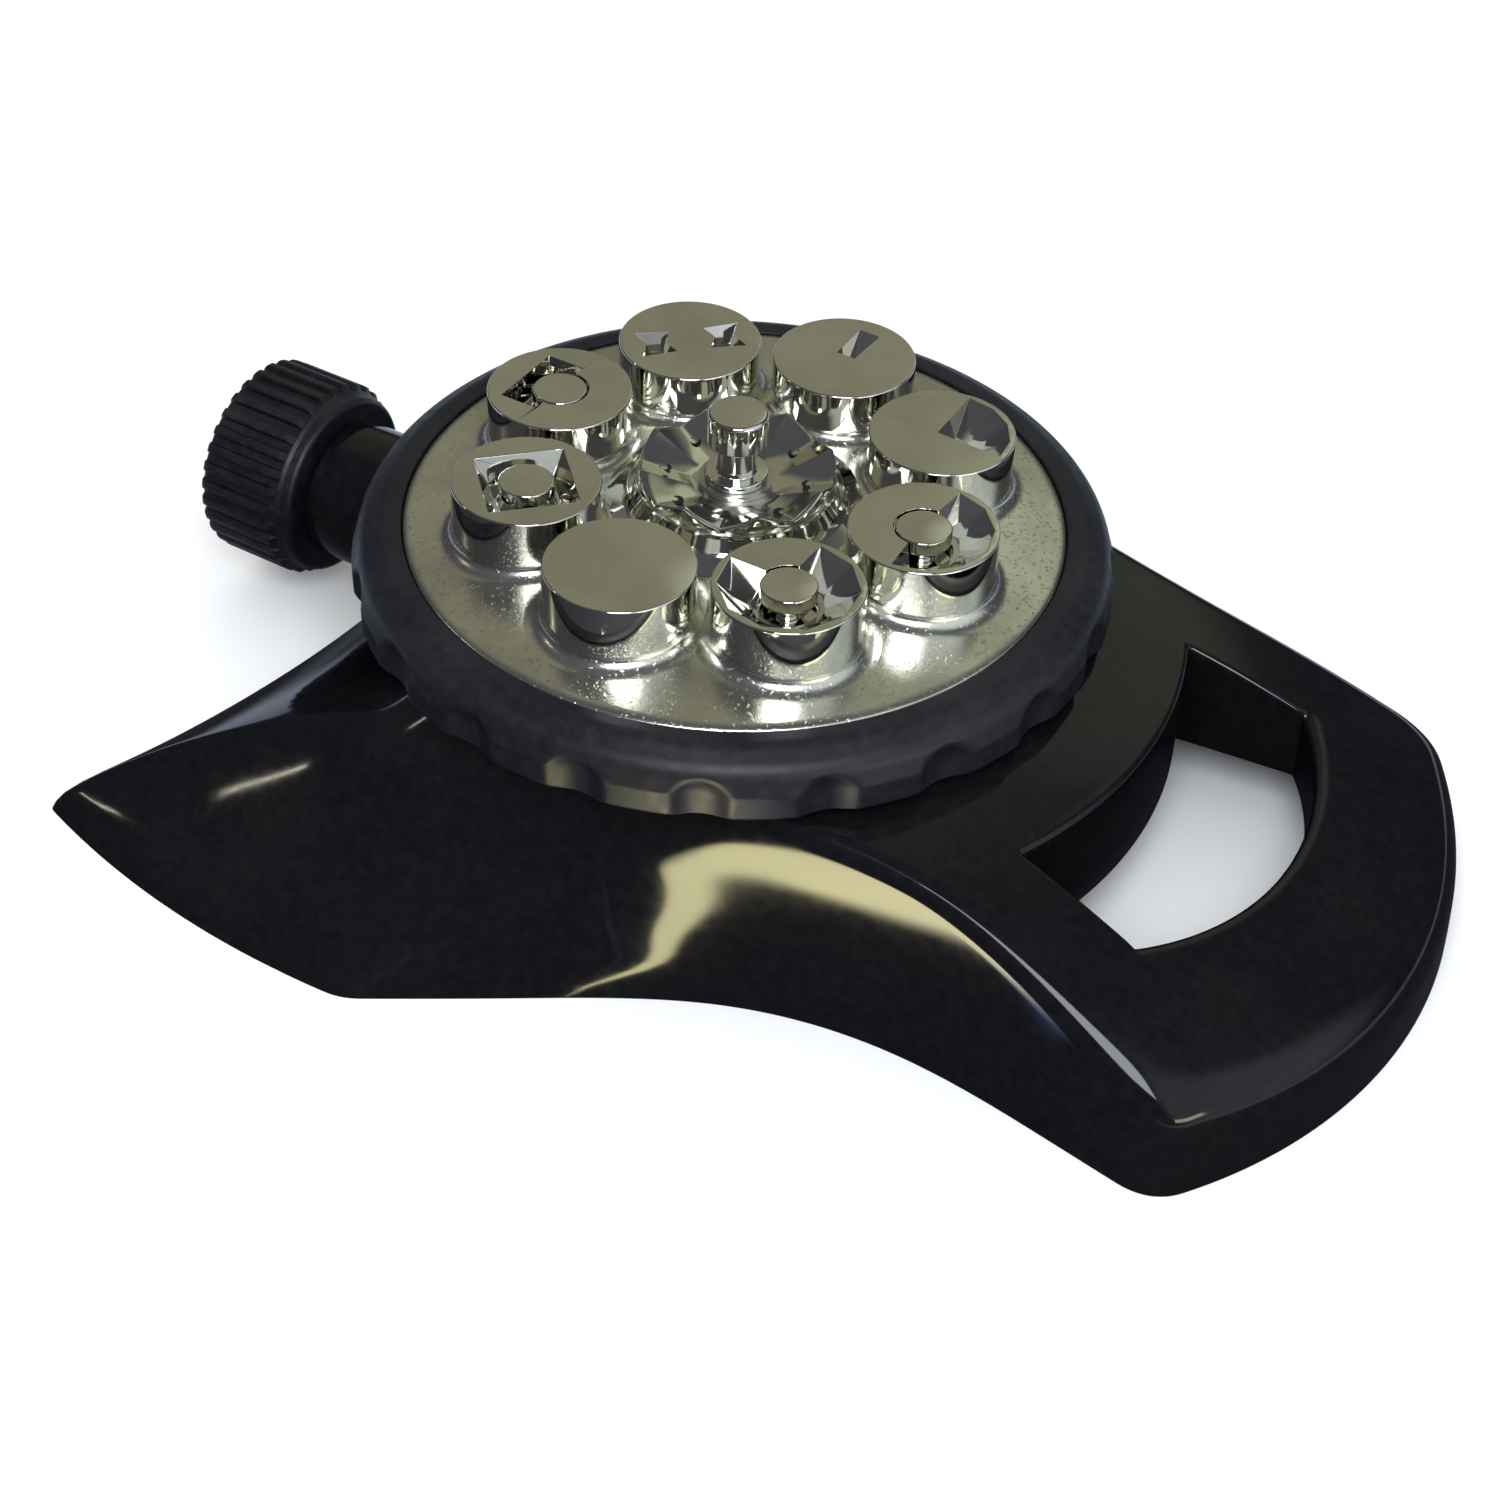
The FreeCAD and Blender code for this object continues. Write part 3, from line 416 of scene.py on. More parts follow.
def scuff_group():
    """Hair scratches in several directions and a few rubbed patches."""
    tree, nodes, given, made = new_group(
        "Scuffs", [("Scale", 1.0), ("Amount", 0.5)], [("Mask", "NodeSocketFloat")])
    place = nodes.place()
    patches = nodes.ramp(nodes.noise(place, 34.0, 3.0, 0.6), 0.5, 0.72)
    total = None
    for turn, squeeze, shift in ((0.5, 26.0, 0.0), (1.7, 34.0, 0.3), (2.6, 22.0, 0.7)):
        mapping = nodes.add("ShaderNodeMapping", {"Vector": place, "Rotation": (0.3, 0.2, turn),
                                                  "Location": (shift, shift, shift),
                                                  "Scale": (squeeze, 1.0, squeeze)})
        scaled = nodes.add("ShaderNodeVectorMath", {0: mapping.outputs[0]}, operation="SCALE")
        nodes.link(given.outputs["Scale"], scaled.inputs["Scale"])
        line = nodes.noise(scaled.outputs["Vector"], 60.0, 2.0, 0.5, 0.15)
        line = nodes.ramp(nodes.maths("ABSOLUTE", nodes.maths("SUBTRACT", line, 0.5)), 0.012, 0.0)
        total = line if total is None else nodes.maths("MAXIMUM", total, line)
    mask = nodes.times(total, patches)
    mask = nodes.times(mask, given.outputs["Amount"], clamp=True)
    nodes.link(mask, made.inputs["Mask"])
    return tree


def dust_group():
    """Thin settled dust: more on what faces up, in loose clouds with a few specks."""
    tree, nodes, given, made = new_group(
        "Settled Dust", [("Amount", 0.3), ("Specks", 0.3)], [("Mask", "NodeSocketFloat")])
    place = nodes.place()
    facing = nodes.add("ShaderNodeSeparateXYZ",
                       {0: nodes.add("ShaderNodeNewGeometry").outputs["Normal"]})
    upward = nodes.ramp(facing.outputs["Z"], 0.2, 1.0)
    clouds = nodes.ramp(nodes.noise(place, 42.0, 5.0, 0.65), 0.38, 0.75)
    specks = nodes.add("ShaderNodeTexVoronoi", {"Vector": place, "Scale": 420.0})
    dots = nodes.ramp(specks.outputs["Distance"], 0.16, 0.06)
    dots = nodes.times(dots, nodes.ramp(nodes.noise(place, 90.0, 2.0), 0.5, 0.62))
    cloud = nodes.times(clouds, given.outputs["Amount"])
    dots = nodes.times(dots, given.outputs["Specks"])
    both = nodes.times(nodes.maths("MAXIMUM", cloud, dots), upward, clamp=True)
    nodes.link(both, made.inputs["Mask"])
    return tree


def plating_group():
    """Bright plating over a moulding: fine pits, cloudy patches and a soft ripple."""
    tree, nodes, given, made = new_group(
        "Bright Plating", [("Cloud", 0.5), ("Pits", 0.5), ("Ripple", 0.5)],
        [("Haze", "NodeSocketFloat"), ("Height", "NodeSocketFloat"), ("Tint", "NodeSocketFloat")])
    place = nodes.place()
    fine = nodes.noise(place, 900.0, 4.0, 0.7)
    clouds = nodes.noise(place, 60.0, 4.0, 0.6)
    pits = nodes.ramp(nodes.noise(place, 1500.0, 2.0, 0.5), 0.60, 0.72)
    ripple = nodes.noise(place, 85.0, 2.0, 0.5)
    haze = nodes.maths("ADD", nodes.times(fine, 0.5), clouds)
    haze = nodes.times(haze, given.outputs["Cloud"])
    nodes.link(haze, made.inputs["Haze"])
    height = nodes.maths("SUBTRACT", nodes.times(ripple, given.outputs["Ripple"]),
                         nodes.times(pits, given.outputs["Pits"]))
    half_pits = nodes.times(given.outputs["Pits"], 0.5)
    height = nodes.maths("ADD", height, nodes.times(fine, half_pits))
    nodes.link(height, made.inputs["Height"])
    nodes.link(nodes.ramp(clouds, 0.35, 0.7), made.inputs["Tint"])
    return tree


GROUP_MAKERS = {"Moulded Grain": moulded_grain_group, "Scuffs": scuff_group,
                "Settled Dust": dust_group, "Bright Plating": plating_group}


def place_group(nodes, name, **values):
    """Adds a shared group to a material, with that material's own values."""
    if name not in bpy.data.node_groups:
        GROUP_MAKERS[name]()
    node = nodes.tree.nodes.new("ShaderNodeGroup")
    node.node_tree = bpy.data.node_groups[name]
    for label, value in values.items():
        node.inputs[label].default_value = value
    return node.outputs


# ---- Finishes ---------------------------------------------------------------------------

def new_finish(name, **constants):
    """New material; constants go straight onto the shader's own sockets."""
    material = bpy.data.materials.new(name)
    material.use_nodes = True
    nodes = Nodes(material.node_tree)
    shader = material.node_tree.nodes["Principled BSDF"]
    for label, value in constants.items():
        shader.inputs[label.replace("_", " ")].default_value = value
    return material, nodes, shader


def set_bump(nodes, shader, height, strength, distance):
    bump = nodes.add("ShaderNodeBump", {"Height": height, "Strength": strength,
                                        "Distance": distance})
    nodes.link(bump.outputs["Normal"], shader.inputs["Normal"])


def plastic_finish(name, colour, roughness, grain=0.5, sink=0.5, scuffs=0.5, dust=0.2,
                   bump=0.1, lighter=2.2, specular=0.5):
    """Moulded plastic with its grain, scuffs and a little dust."""
    if name in bpy.data.materials:
        return bpy.data.materials[name]
    material, nodes, shader = new_finish(name, Specular_IOR_Level=specular)
    skin = place_group(nodes, "Moulded Grain", Scale=1.0, Grain=grain, Sink=sink)
    worn = place_group(nodes, "Scuffs", Scale=1.0, Amount=scuffs)["Mask"]
    dusty = place_group(nodes, "Settled Dust", Amount=dust, Specks=dust)["Mask"]
    pale = tuple(min(1.0, c * lighter + 0.004) for c in colour)
    base = nodes.mix(nodes.times(skin["Mottle"], 0.35), colour, pale)
    base = nodes.mix(nodes.times(worn, 0.35), base, (0.09, 0.09, 0.095))
    base = nodes.mix(nodes.times(dusty, 0.22), base, (0.24, 0.235, 0.22))
    nodes.link(base, shader.inputs["Base Color"])
    rough = nodes.maths("MULTIPLY_ADD", skin["Mottle"], roughness * 0.25, roughness)
    rough = nodes.maths("MULTIPLY_ADD", worn, 0.22, rough)
    rough = nodes.maths("MULTIPLY_ADD", dusty, 0.25, rough, clamp=True)
    nodes.link(rough, shader.inputs["Roughness"])
    set_bump(nodes, shader, skin["Height"], bump, 0.0001)
    return material


def plated_finish(name, colour, roughness, haze, pits=0.4, ripple=0.4, bump=0.2, dull=0.85):
    """Bright plating with haze, pits and a slow ripple."""
    if name in bpy.data.materials:
        return bpy.data.materials[name]
    material, nodes, shader = new_finish(name, Metallic=1.0)
    plating = place_group(nodes, "Bright Plating", Cloud=1.0, Pits=pits, Ripple=ripple)
    worn = place_group(nodes, "Scuffs", Scale=1.6, Amount=0.5)["Mask"]
    dusty = place_group(nodes, "Settled Dust", Amount=0.25, Specks=0.5)["Mask"]
    darker = tuple(c * dull for c in colour)
    base = nodes.mix(plating["Tint"], colour, darker)
    base = nodes.mix(nodes.times(dusty, 0.25), base, (0.5, 0.49, 0.45))
    nodes.link(base, shader.inputs["Base Color"])
    rough = nodes.maths("MULTIPLY_ADD", plating["Haze"], haze, roughness)
    rough = nodes.maths("MULTIPLY_ADD", worn, 0.08, rough)
    rough = nodes.maths("MULTIPLY_ADD", dusty, 0.15, rough, clamp=True)
    nodes.link(rough, shader.inputs["Roughness"])
    set_bump(nodes, shader, plating["Height"], bump, 0.0001)
    return material


def gloss_black():
    colour = tuple(bpy.context.scene.sprinkler_base.colour)
    return plastic_finish("Gloss Black", colour, 0.07, grain=0.02, sink=0.6, scuffs=0.15,
                          dust=0.04, bump=0.06, lighter=1.3, specular=0.32)


def ring_finish():
    colour = tuple(bpy.context.scene.sprinkler_head.ring_colour)
    return plastic_finish("Satin Charcoal", colour, 0.40, grain=0.7, scuffs=0.3, dust=0.12,
                          bump=0.16, lighter=1.6, specular=0.35)


def bright_plating():
    colour = tuple(bpy.context.scene.sprinkler_head.plating_colour)
    return plated_finish("Bright Plating", colour, 0.035, 0.03, pits=0.10, ripple=0.9, bump=0.10)


def plate_plating():
    colour = tuple(bpy.context.scene.sprinkler_head.plating_colour)
    return plated_finish("Plate Plating", colour, 0.12, 0.15, pits=1.1, ripple=0.8, bump=0.40,
                         dull=0.75)


def nut_finish():
    colour = tuple(bpy.context.scene.sprinkler_hose.colour)
    return plastic_finish("Matte Black", colour, 0.42, grain=0.9, sink=0.2, scuffs=0.4,
                          dust=0.25, bump=0.2, lighter=1.8)


# Near-black finish for painted shade where a spray hole is; no hole is cut
def painted_hole_shade():
    return plastic_finish("Hole Dark", (0.004, 0.004, 0.004), 0.8, dust=0.0, scuffs=0.0)


# ---- Base -------------------------------------------------------------------------------

# The base's outline at rising heights: height, share of the way from the ground width to the
# shoulder width, nose, wing tip x and y, bulge of the wing's side, how much shorter the handle is
BASE_LEVELS = np.array((
    (0.0, 0.00, -71.5, -85.6, 77.0, 3.6, 0.0),
    (4.0, 0.16, -69.2, -83.0, 75.5, 3.3, 0.1),
    (8.0, 0.34, -64.6, -76.5, 69.0, 3.0, 0.3),
    (13.5, 0.56, -57.0, -65.0, 61.5, 2.4, 0.6),
    (21.0, 0.82, -47.0, -46.5, 56.0, 1.6, 1.4),
    (27.0, 1.00, -40.5, -34.0, 54.5, 1.0, 2.4),
    (33.0, 1.25, -36.5, -28.0, 48.5, 0.7, 4.2),
    (39.0, 1.65, -34.0, -24.0, 40.0, 0.4, 6.6)))
# The base's side from the wing's corner to the handle's: x, y at the ground, y at the shoulder
BASE_SIDE = np.array(((-18.0, 86.0, 60.5), (2.7, 72.4, 55.6), (29.7, 55.9, 50.2),
                      (62.0, 48.9, 45.6), (91.0, 52.0, 49.0), (107.0, 54.5, 51.5)))
HANDLE_START, HANDLE_END = 60.0, 126.4
# The crown's fall from the seat to the handle's end: radius, height
CROWN = np.array(((53.0, 36.9), (75.5, 32.4), (96.0, 25.9), (130.0, 11.2)))
SLOT_INNER, SLOT_INNER_ANGLE = 75.7, math.radians(22.9)
SLOT_CORNER, SLOT_OUTER = (90.2, 31.7), 101.7
SLOT_BOTTOM = 12.4
SLOT_COLLAR = 2.6
# Depth that stands for a side too far away to matter
FAR_INSIDE = 50.0

level_curves = [natural_spline(BASE_LEVELS[:, 0], BASE_LEVELS[:, k]) for k in range(1, 7)]
side_ground = natural_spline(BASE_SIDE[:, 0], BASE_SIDE[:, 1])
side_shoulder = natural_spline(BASE_SIDE[:, 0], BASE_SIDE[:, 2])
crown_curve = natural_spline(CROWN[:, 0], CROWN[:, 1])


def crown_height(radius):
    return np.where(radius > CROWN[0, 0], crown_curve(np.maximum(radius, CROWN[0, 0])),
                    CROWN[0, 1])


def soft_min(a, b, blend):
    gap = np.maximum(blend - np.abs(a - b), 0.0) / blend
    return np.minimum(a, b) - gap * gap * blend / 4


def soft_max(a, b, blend):
    return -soft_min(-a, -b, blend)


def bowed(distance_x, y, bow):
    """Depth inside an arc that bows by its curvature, measured from the arc's middle."""
    root = np.sqrt((bow * distance_x + 1) ** 2 + (bow * y) ** 2)
    return (bow * (distance_x ** 2 + y ** 2) + 2 * distance_x) / (root + 1)


def base_depths(points):
    """Depth of points inside each side of the base: nose, wing side, waist and rear."""
    x, y, z = points[:, 0], np.abs(points[:, 1]), np.clip(points[:, 2], 0.0, BASE_LEVELS[-1, 0])
    share, nose, tip_x, tip_y, bulge, shorter = [curve(z) for curve in level_curves]

    def side_y(at):
        ground, shoulder = side_ground(at), side_shoulder(at)
        return ground + share * (shoulder - ground)

    bow = 2 * (nose - tip_x) / ((nose - tip_x) ** 2 + tip_y ** 2)
    nose_depth = bowed(x - nose, y, bow)
    slope = (side_y(x + 0.05) - side_y(x - 0.05)) / 0.1
    waist_depth = (side_y(x) - y) / np.sqrt(1 + slope ** 2)
    corner_x = BASE_SIDE[0, 0]
    corner_y = BASE_SIDE[0, 1] + share * (BASE_SIDE[0, 2] - BASE_SIDE[0, 1])
    run = np.hypot(corner_x - tip_x, corner_y - tip_y)
    along_x, along_y = (corner_x - tip_x) / run, (corner_y - tip_y) / run
    from_middle_x, from_middle_y = x - (corner_x + tip_x) / 2, y - (corner_y + tip_y) / 2
    along = from_middle_x * along_x + from_middle_y * along_y
    away = from_middle_y * along_x - from_middle_x * along_y
    reach = 0.6 * run
    square = np.where(np.abs(along) < reach, along ** 2, reach * (2 * np.abs(along) - reach))
    wing_depth = bulge * (1 - 4 * square / run ** 2) - away
    rear_x = BASE_SIDE[-1, 0] - 0.3 * shorter
    rear_y = BASE_SIDE[-1, 1] + share * (BASE_SIDE[-1, 2] - BASE_SIDE[-1, 1])
    end = HANDLE_END - shorter
    rear_bow = -2 * (end - rear_x) / ((end - rear_x) ** 2 + rear_y ** 2)
    rear_depth = np.where(x > HANDLE_START, bowed(end - x, y, rear_bow), FAR_INSIDE)
    return nose_depth, wing_depth, waist_depth, rear_depth


def base_depth(points, soft):
    """Depth inside the whole base, with its edges rounded if soft."""
    nose, wing, waist, rear = base_depths(points)
    x, z = points[:, 0], points[:, 2]
    radius = np.hypot(points[:, 0], points[:, 1])
    top = (crown_height(radius) - z) * 0.96
    drum = np.minimum(CROWN[0, 0] - radius, CROWN[0, 1] - z)
    if not soft:
        wall = np.minimum(np.minimum(nose, wing), np.minimum(waist, rear))
        return np.maximum(np.minimum(wall, top), drum)
    rise = np.clip(z / 12.0, 0.0, 1.0)
    wall = soft_min(wing, waist, 1.5 + 4.5 * rise)
    wall = soft_min(wall, nose, 1.2 + 1.2 * rise)
    wall = soft_min(wall, rear, 5.0)
    rim = 2.6 + 2.6 * np.clip((x - HANDLE_START) / 45.0, 0.0, 1.0)
    return soft_max(soft_min(wall, top, rim), drum, 2.0)


def wall_radius(angles, heights):
    """Distance from the head's axis to the base's wall, by halving."""
    near, far = np.full(angles.shape, 20.0), np.full(angles.shape, 150.0)
    for _ in range(40):
        half = (near + far) / 2
        points = np.stack([half * np.cos(angles), half * np.sin(angles), heights], 1)
        inside = np.min(base_depths(points), axis=0) > 0
        near, far = np.where(inside, half, near), np.where(inside, far, half)
    return near


def settle(points, keep_height):
    """Moves points onto the base's rounded surface; some may only move level."""
    points = points.copy()
    for _ in range(8):
        depth = base_depth(points, True)
        slope = np.stack([(base_depth(points + step, True) - base_depth(points - step, True))
                          / 0.04 for step in np.eye(3) * 0.02], 1)
        slope[keep_height, 2] = 0.0
        size = np.maximum((slope ** 2).sum(1), 0.05)
        step = np.clip(depth / size, -1.5, 1.5)
        points -= step[:, None] * slope
    return points, slope / np.sqrt(np.maximum((slope ** 2).sum(1), 1e-9))[:, None]


def slot_outline(grow, per_side=40):
    """Near and far side of the finger slot, grown outwards, as plan points."""
    inner = SLOT_INNER - grow
    turn = SLOT_INNER_ANGLE + grow / inner
    first = np.array([(inner * math.cos(a), inner * math.sin(a))
                      for a in np.linspace(-turn, turn, per_side)])
    x, y = SLOT_CORNER[0] + grow, SLOT_CORNER[1] + grow
    end = SLOT_OUTER + grow
    bow = ((end - x) ** 2 + y ** 2) / (2 * (end - x))
    angle = math.asin(y / bow)
    second = np.array([(end - bow + bow * math.cos(a), bow * math.sin(a))
                       for a in np.linspace(angle, -angle, per_side)])
    return first, second


def base_columns(spacing):
    """Angles round the head's axis, evenly spaced along the base's outline at the ground."""
    fine = np.linspace(0.0, math.pi, 6000)
    reach = wall_radius(fine, np.full(fine.shape, 6.0))
    steps = np.hypot(np.diff(reach * np.cos(fine)), np.diff(reach * np.sin(fine)))
    length = np.concatenate([[0.0], np.cumsum(steps)])
    count = int(length[-1] / spacing)
    return np.interp(np.linspace(0.0, length[-1], count), length, fine)


# The column that runs along the slot's side, and the first one that it doesn't bend
SLOT_COLUMN, STRAIGHT_COLUMN = math.radians(21.0), math.radians(44.0)


def handle_turns(angles, full):
    """How far columns near the slot swing so that one runs along the slot's side."""
    share = np.abs(angles) / SLOT_COLUMN
    beyond = (STRAIGHT_COLUMN - np.abs(angles)) / (STRAIGHT_COLUMN - SLOT_COLUMN)
    swing = np.where(share <= 1, share, np.clip(beyond, 0, 1) ** 1.5)
    return angles + np.sign(angles) * swing * full


WALL_ROWS, CROWN_ROWS = 44, (26, 24, 22)
SEAT_RIM = CROWN[0, 0] - 3.0


def base_angles(spacing):
    """Angles of the columns; one is moved to run along each side of the slot."""
    half = base_columns(spacing)
    nearest = half[np.argmin(np.abs(half - SLOT_COLUMN))]
    half = half + (SLOT_COLUMN - nearest) * np.exp(-((half - nearest) / 0.08) ** 2)
    half[0], half[-1] = 0.0, math.pi
    return np.concatenate([half, -half[-2:0:-1]])


def crown_edge(angles):
    """Height and radius where each column leaves the wall for the crown."""
    low, high = np.zeros(angles.shape), np.full(angles.shape, CROWN[0, 1])
    for _ in range(30):
        level = (low + high) / 2
        reach = np.maximum(wall_radius(angles, level), CROWN[0, 0])
        over = level > crown_height(reach) - 1e-3
        low, high = np.where(over, low, level), np.where(over, level, high)
    return low, np.maximum(wall_radius(angles, low), CROWN[0, 0])


def wall_rings(angles, edge_height):
    """Rings of points up the wall, from the ground to the crown's edge."""
    rings = []
    for number in range(WALL_ROWS):
        height = edge_height * math.sin(0.5 * math.pi * number / (WALL_ROWS - 1)) ** 0.9
        reach = wall_radius(angles, height)
        reach = np.where(height > 9.0, np.maximum(reach, CROWN[0, 0]), reach)
        rings.append(upright_ring(reach, angles, height))
    return rings


def crown_stations(angles, edge_radius, edge):
    """Plan rings on the crown: its edge, the slot's far side, its near side and the seat."""
    first, second = slot_outline(edge)
    (near_x, near_y), (far_x, far_y) = first[-1], second[0]
    at_near = handle_turns(angles, math.atan2(near_y, near_x) - SLOT_COLUMN)
    at_far = handle_turns(angles, math.atan2(far_y, far_x) - SLOT_COLUMN)
    end = SLOT_OUTER + edge
    bow = ((end - far_x) ** 2 + far_y ** 2) / (2 * (end - far_x))
    centre = end - bow
    off_centre = (centre * np.sin(at_far)) ** 2
    arc = centre * np.cos(at_far) + np.sqrt(np.maximum(bow ** 2 - off_centre, 0.0))
    half = angles[:len(angles) // 2 + 1]
    corner_edge = np.interp(SLOT_COLUMN, half, edge_radius[:len(half)])
    beside_slot = np.abs(angles) > SLOT_COLUMN + 1e-9

    def station(corner_radius, slot_radius):
        share = (corner_radius - SEAT_RIM) / (corner_edge - SEAT_RIM)
        return np.where(beside_slot, SEAT_RIM + share * (edge_radius - SEAT_RIM), slot_radius)

    far = station(math.hypot(far_x, far_y), arc)
    far = np.minimum(far, edge_radius - 0.3 * (edge_radius - SEAT_RIM))
    near = station(SLOT_INNER - edge, SLOT_INNER - edge)
    return [upright_ring(radius, turns, 0.0)[:, :2]
            for radius, turns in ((edge_radius, angles), (far, at_far), (near, at_near),
                                  (SEAT_RIM, angles))]


def crown_rings(stations):
    """Rings of points between the stations, closer together at the crown's edge."""
    rings, station_rows = [], []
    for part, count in enumerate(CROWN_ROWS):
        shares = np.arange(1, count + 1) / count
        if part == 0:
            shares = 1 - np.cos(0.5 * math.pi * shares)
        for share in shares:
            flat = stations[part] + share * (stations[part + 1] - stations[part])
            height = crown_height(np.hypot(flat[:, 0], flat[:, 1]))
            rings.append(np.column_stack([flat, height]))
        station_rows.append(WALL_ROWS + len(rings) - 1)
    return rings, station_rows


def slot_brink(angles, in_slot, first_row, last_row):
    """Numbers of the points round the slot's opening, in order."""
    columns = len(angles)
    strip = sorted(np.flatnonzero(in_slot), key=lambda j: (angles[j] + math.pi) % (2 * math.pi))
    loop = [first_row * columns + j for j in strip]
    loop += [i * columns + strip[-1] for i in range(first_row + 1, last_row + 1)]
    loop += [last_row * columns + j for j in strip[-2::-1]]
    loop += [i * columns + strip[0] for i in range(last_row - 1, first_row, -1)]
    return loop


def slot_wall(brink, edge):
    """Rounded edge, wall and collar under the slot's opening."""
    first, second = slot_outline(0.0, 400)
    outline = np.concatenate([first, np.linspace(first[-1], second[0], 200),
                              second, np.linspace(second[-1], first[0], 200)])
    nearest = np.array([np.argmin(((outline - p[:2]) ** 2).sum(1)) for p in brink])
    target = outline[nearest]
    for _ in range(2):
        target = (np.roll(target, 1, 0) + 2 * target + np.roll(target, -1, 0)) / 4
    sweep = [brink]
    for number in range(1, 7):
        turn = 0.5 * math.pi * number / 6
        flat = target + (1 - math.sin(turn)) * (brink[:, :2] - target)
        sweep.append(np.column_stack([flat, brink[:, 2] - edge * (1 - math.cos(turn))]))
    top_of_wall = sweep[-1][:, 2]
    for share in (0.35, 0.7, 0.97):
        sweep.append(np.column_stack([target, top_of_wall * (1 - share) + SLOT_BOTTOM * share]))
    away = brink[:, :2] - target
    away /= np.maximum(np.linalg.norm(away, axis=1), 1e-6)[:, None]
    bottom = np.full(len(target), SLOT_BOTTOM)
    for offset, height in ((0.3, bottom), (SLOT_COLLAR, bottom), (SLOT_COLLAR, brink[:, 2] - 1.5)):
        sweep.append(np.column_stack([target + away * offset, height]))
    return rings_joined(sweep)


def build_inlet_tunnel():
    """Dark tunnel behind the neck's hole in the shell."""
    tunnel = turned_about_inlet(rounded([(-46.0, 15.5, 0), (-61.0, 15.5, 0.9), (-61.0, 12.56, 0.4),
                                         (-50.0, 12.56, 0)]), 96)
    clipped = [(x, y, min(z, CROWN[0, 1] - 0.1)) for x, y, z in tunnel[0]]
    add_piece("inlet_tunnel", mesh_from("inlet_tunnel", clipped, tunnel[1]), gloss_black(),
              "base")


def build_base():
    settings = bpy.context.scene.sprinkler_base
    wall, edge = settings.wall / MM, settings.slot_edge / MM
    angles = base_angles(settings.spacing / MM)
    columns = len(angles)
    edge_height, edge_radius = crown_edge(angles)
    crown, station_rows = crown_rings(crown_stations(angles, edge_radius, edge))
    rings = wall_rings(angles, edge_height) + crown
    ground = np.arange(len(rings) * columns) < columns
    outside, normals = settle(np.concatenate(rings), ground)
    outside[:, 2] = np.maximum(outside[:, 2], 0.0)
    half_width = min(-CAD_BOX[0][1], CAD_BOX[1][1]) / MM
    outside[:, 1] = np.clip(outside[:, 1], -half_width, half_width)

    # The slot is left open
    in_slot = np.abs(angles) <= SLOT_COLUMN + 1e-9
    first_row, last_row = station_rows[:2]
    faces = []
    for number, face in enumerate(grid_faces(len(rings), columns)):
        row, column = divmod(number, columns)
        over_slot = in_slot[column] and in_slot[(column + 1) % columns]
        if not (first_row <= row < last_row and over_slot):
            faces.append(face)

    # Outside, inside, the rim on the ground and the flat top of the seat
    inside = outside + normals * wall
    inside[:, 2] = np.maximum(inside[:, 2], 0.0)
    inside[:columns, 2] = 0.0
    shapes = [(outside, faces), (inside, [face[::-1] for face in faces]),
              rings_joined([outside[:columns], inside[:columns]])]
    for height in (CROWN[0, 1], CROWN[0, 1] - wall):
        shapes.append(turned([(SEAT_RIM, height), (0.0, height)], 96))
    brink = outside[slot_brink(angles, in_slot, first_row, last_row)]
    shapes.append(slot_wall(brink, edge))
    mesh = mesh_from("base_shell", *join_shapes(*shapes), sharp=50.0)
    add_piece("sled_base", mesh, gloss_black(), "base", ["base_shell"])
    build_inlet_tunnel()


# ---- Hose end ---------------------------------------------------------------------------

NUT_MOUTH, NUT_BACK = -100.0, -81.0
# Radii of the hole for the swivel's tail and of the relief behind the thread
NUT_HOLE, NUT_RELIEF = 8.56, 13.0
THREAD_END, THREAD_CREST = -88.15, 12.28


def build_neck():
    neck = bpy.context.scene.sprinkler_hose.neck_radius / MM
    outline = rounded([(-80.8, 6.5, 0), (-80.8, neck, 0.8), (-74.0, neck, 0), (-57.05, neck, 0.2),
                       (-57.05, 9.6, 0.2), (-45.5, 9.6, 0.5), (-45.5, 6.5, 0)])
    mesh = mesh_from("inlet_neck", *turned_about_inlet(outline, 128))
    add_piece("inlet_neck", mesh, gloss_black(), "base", ["inlet_pipe"])


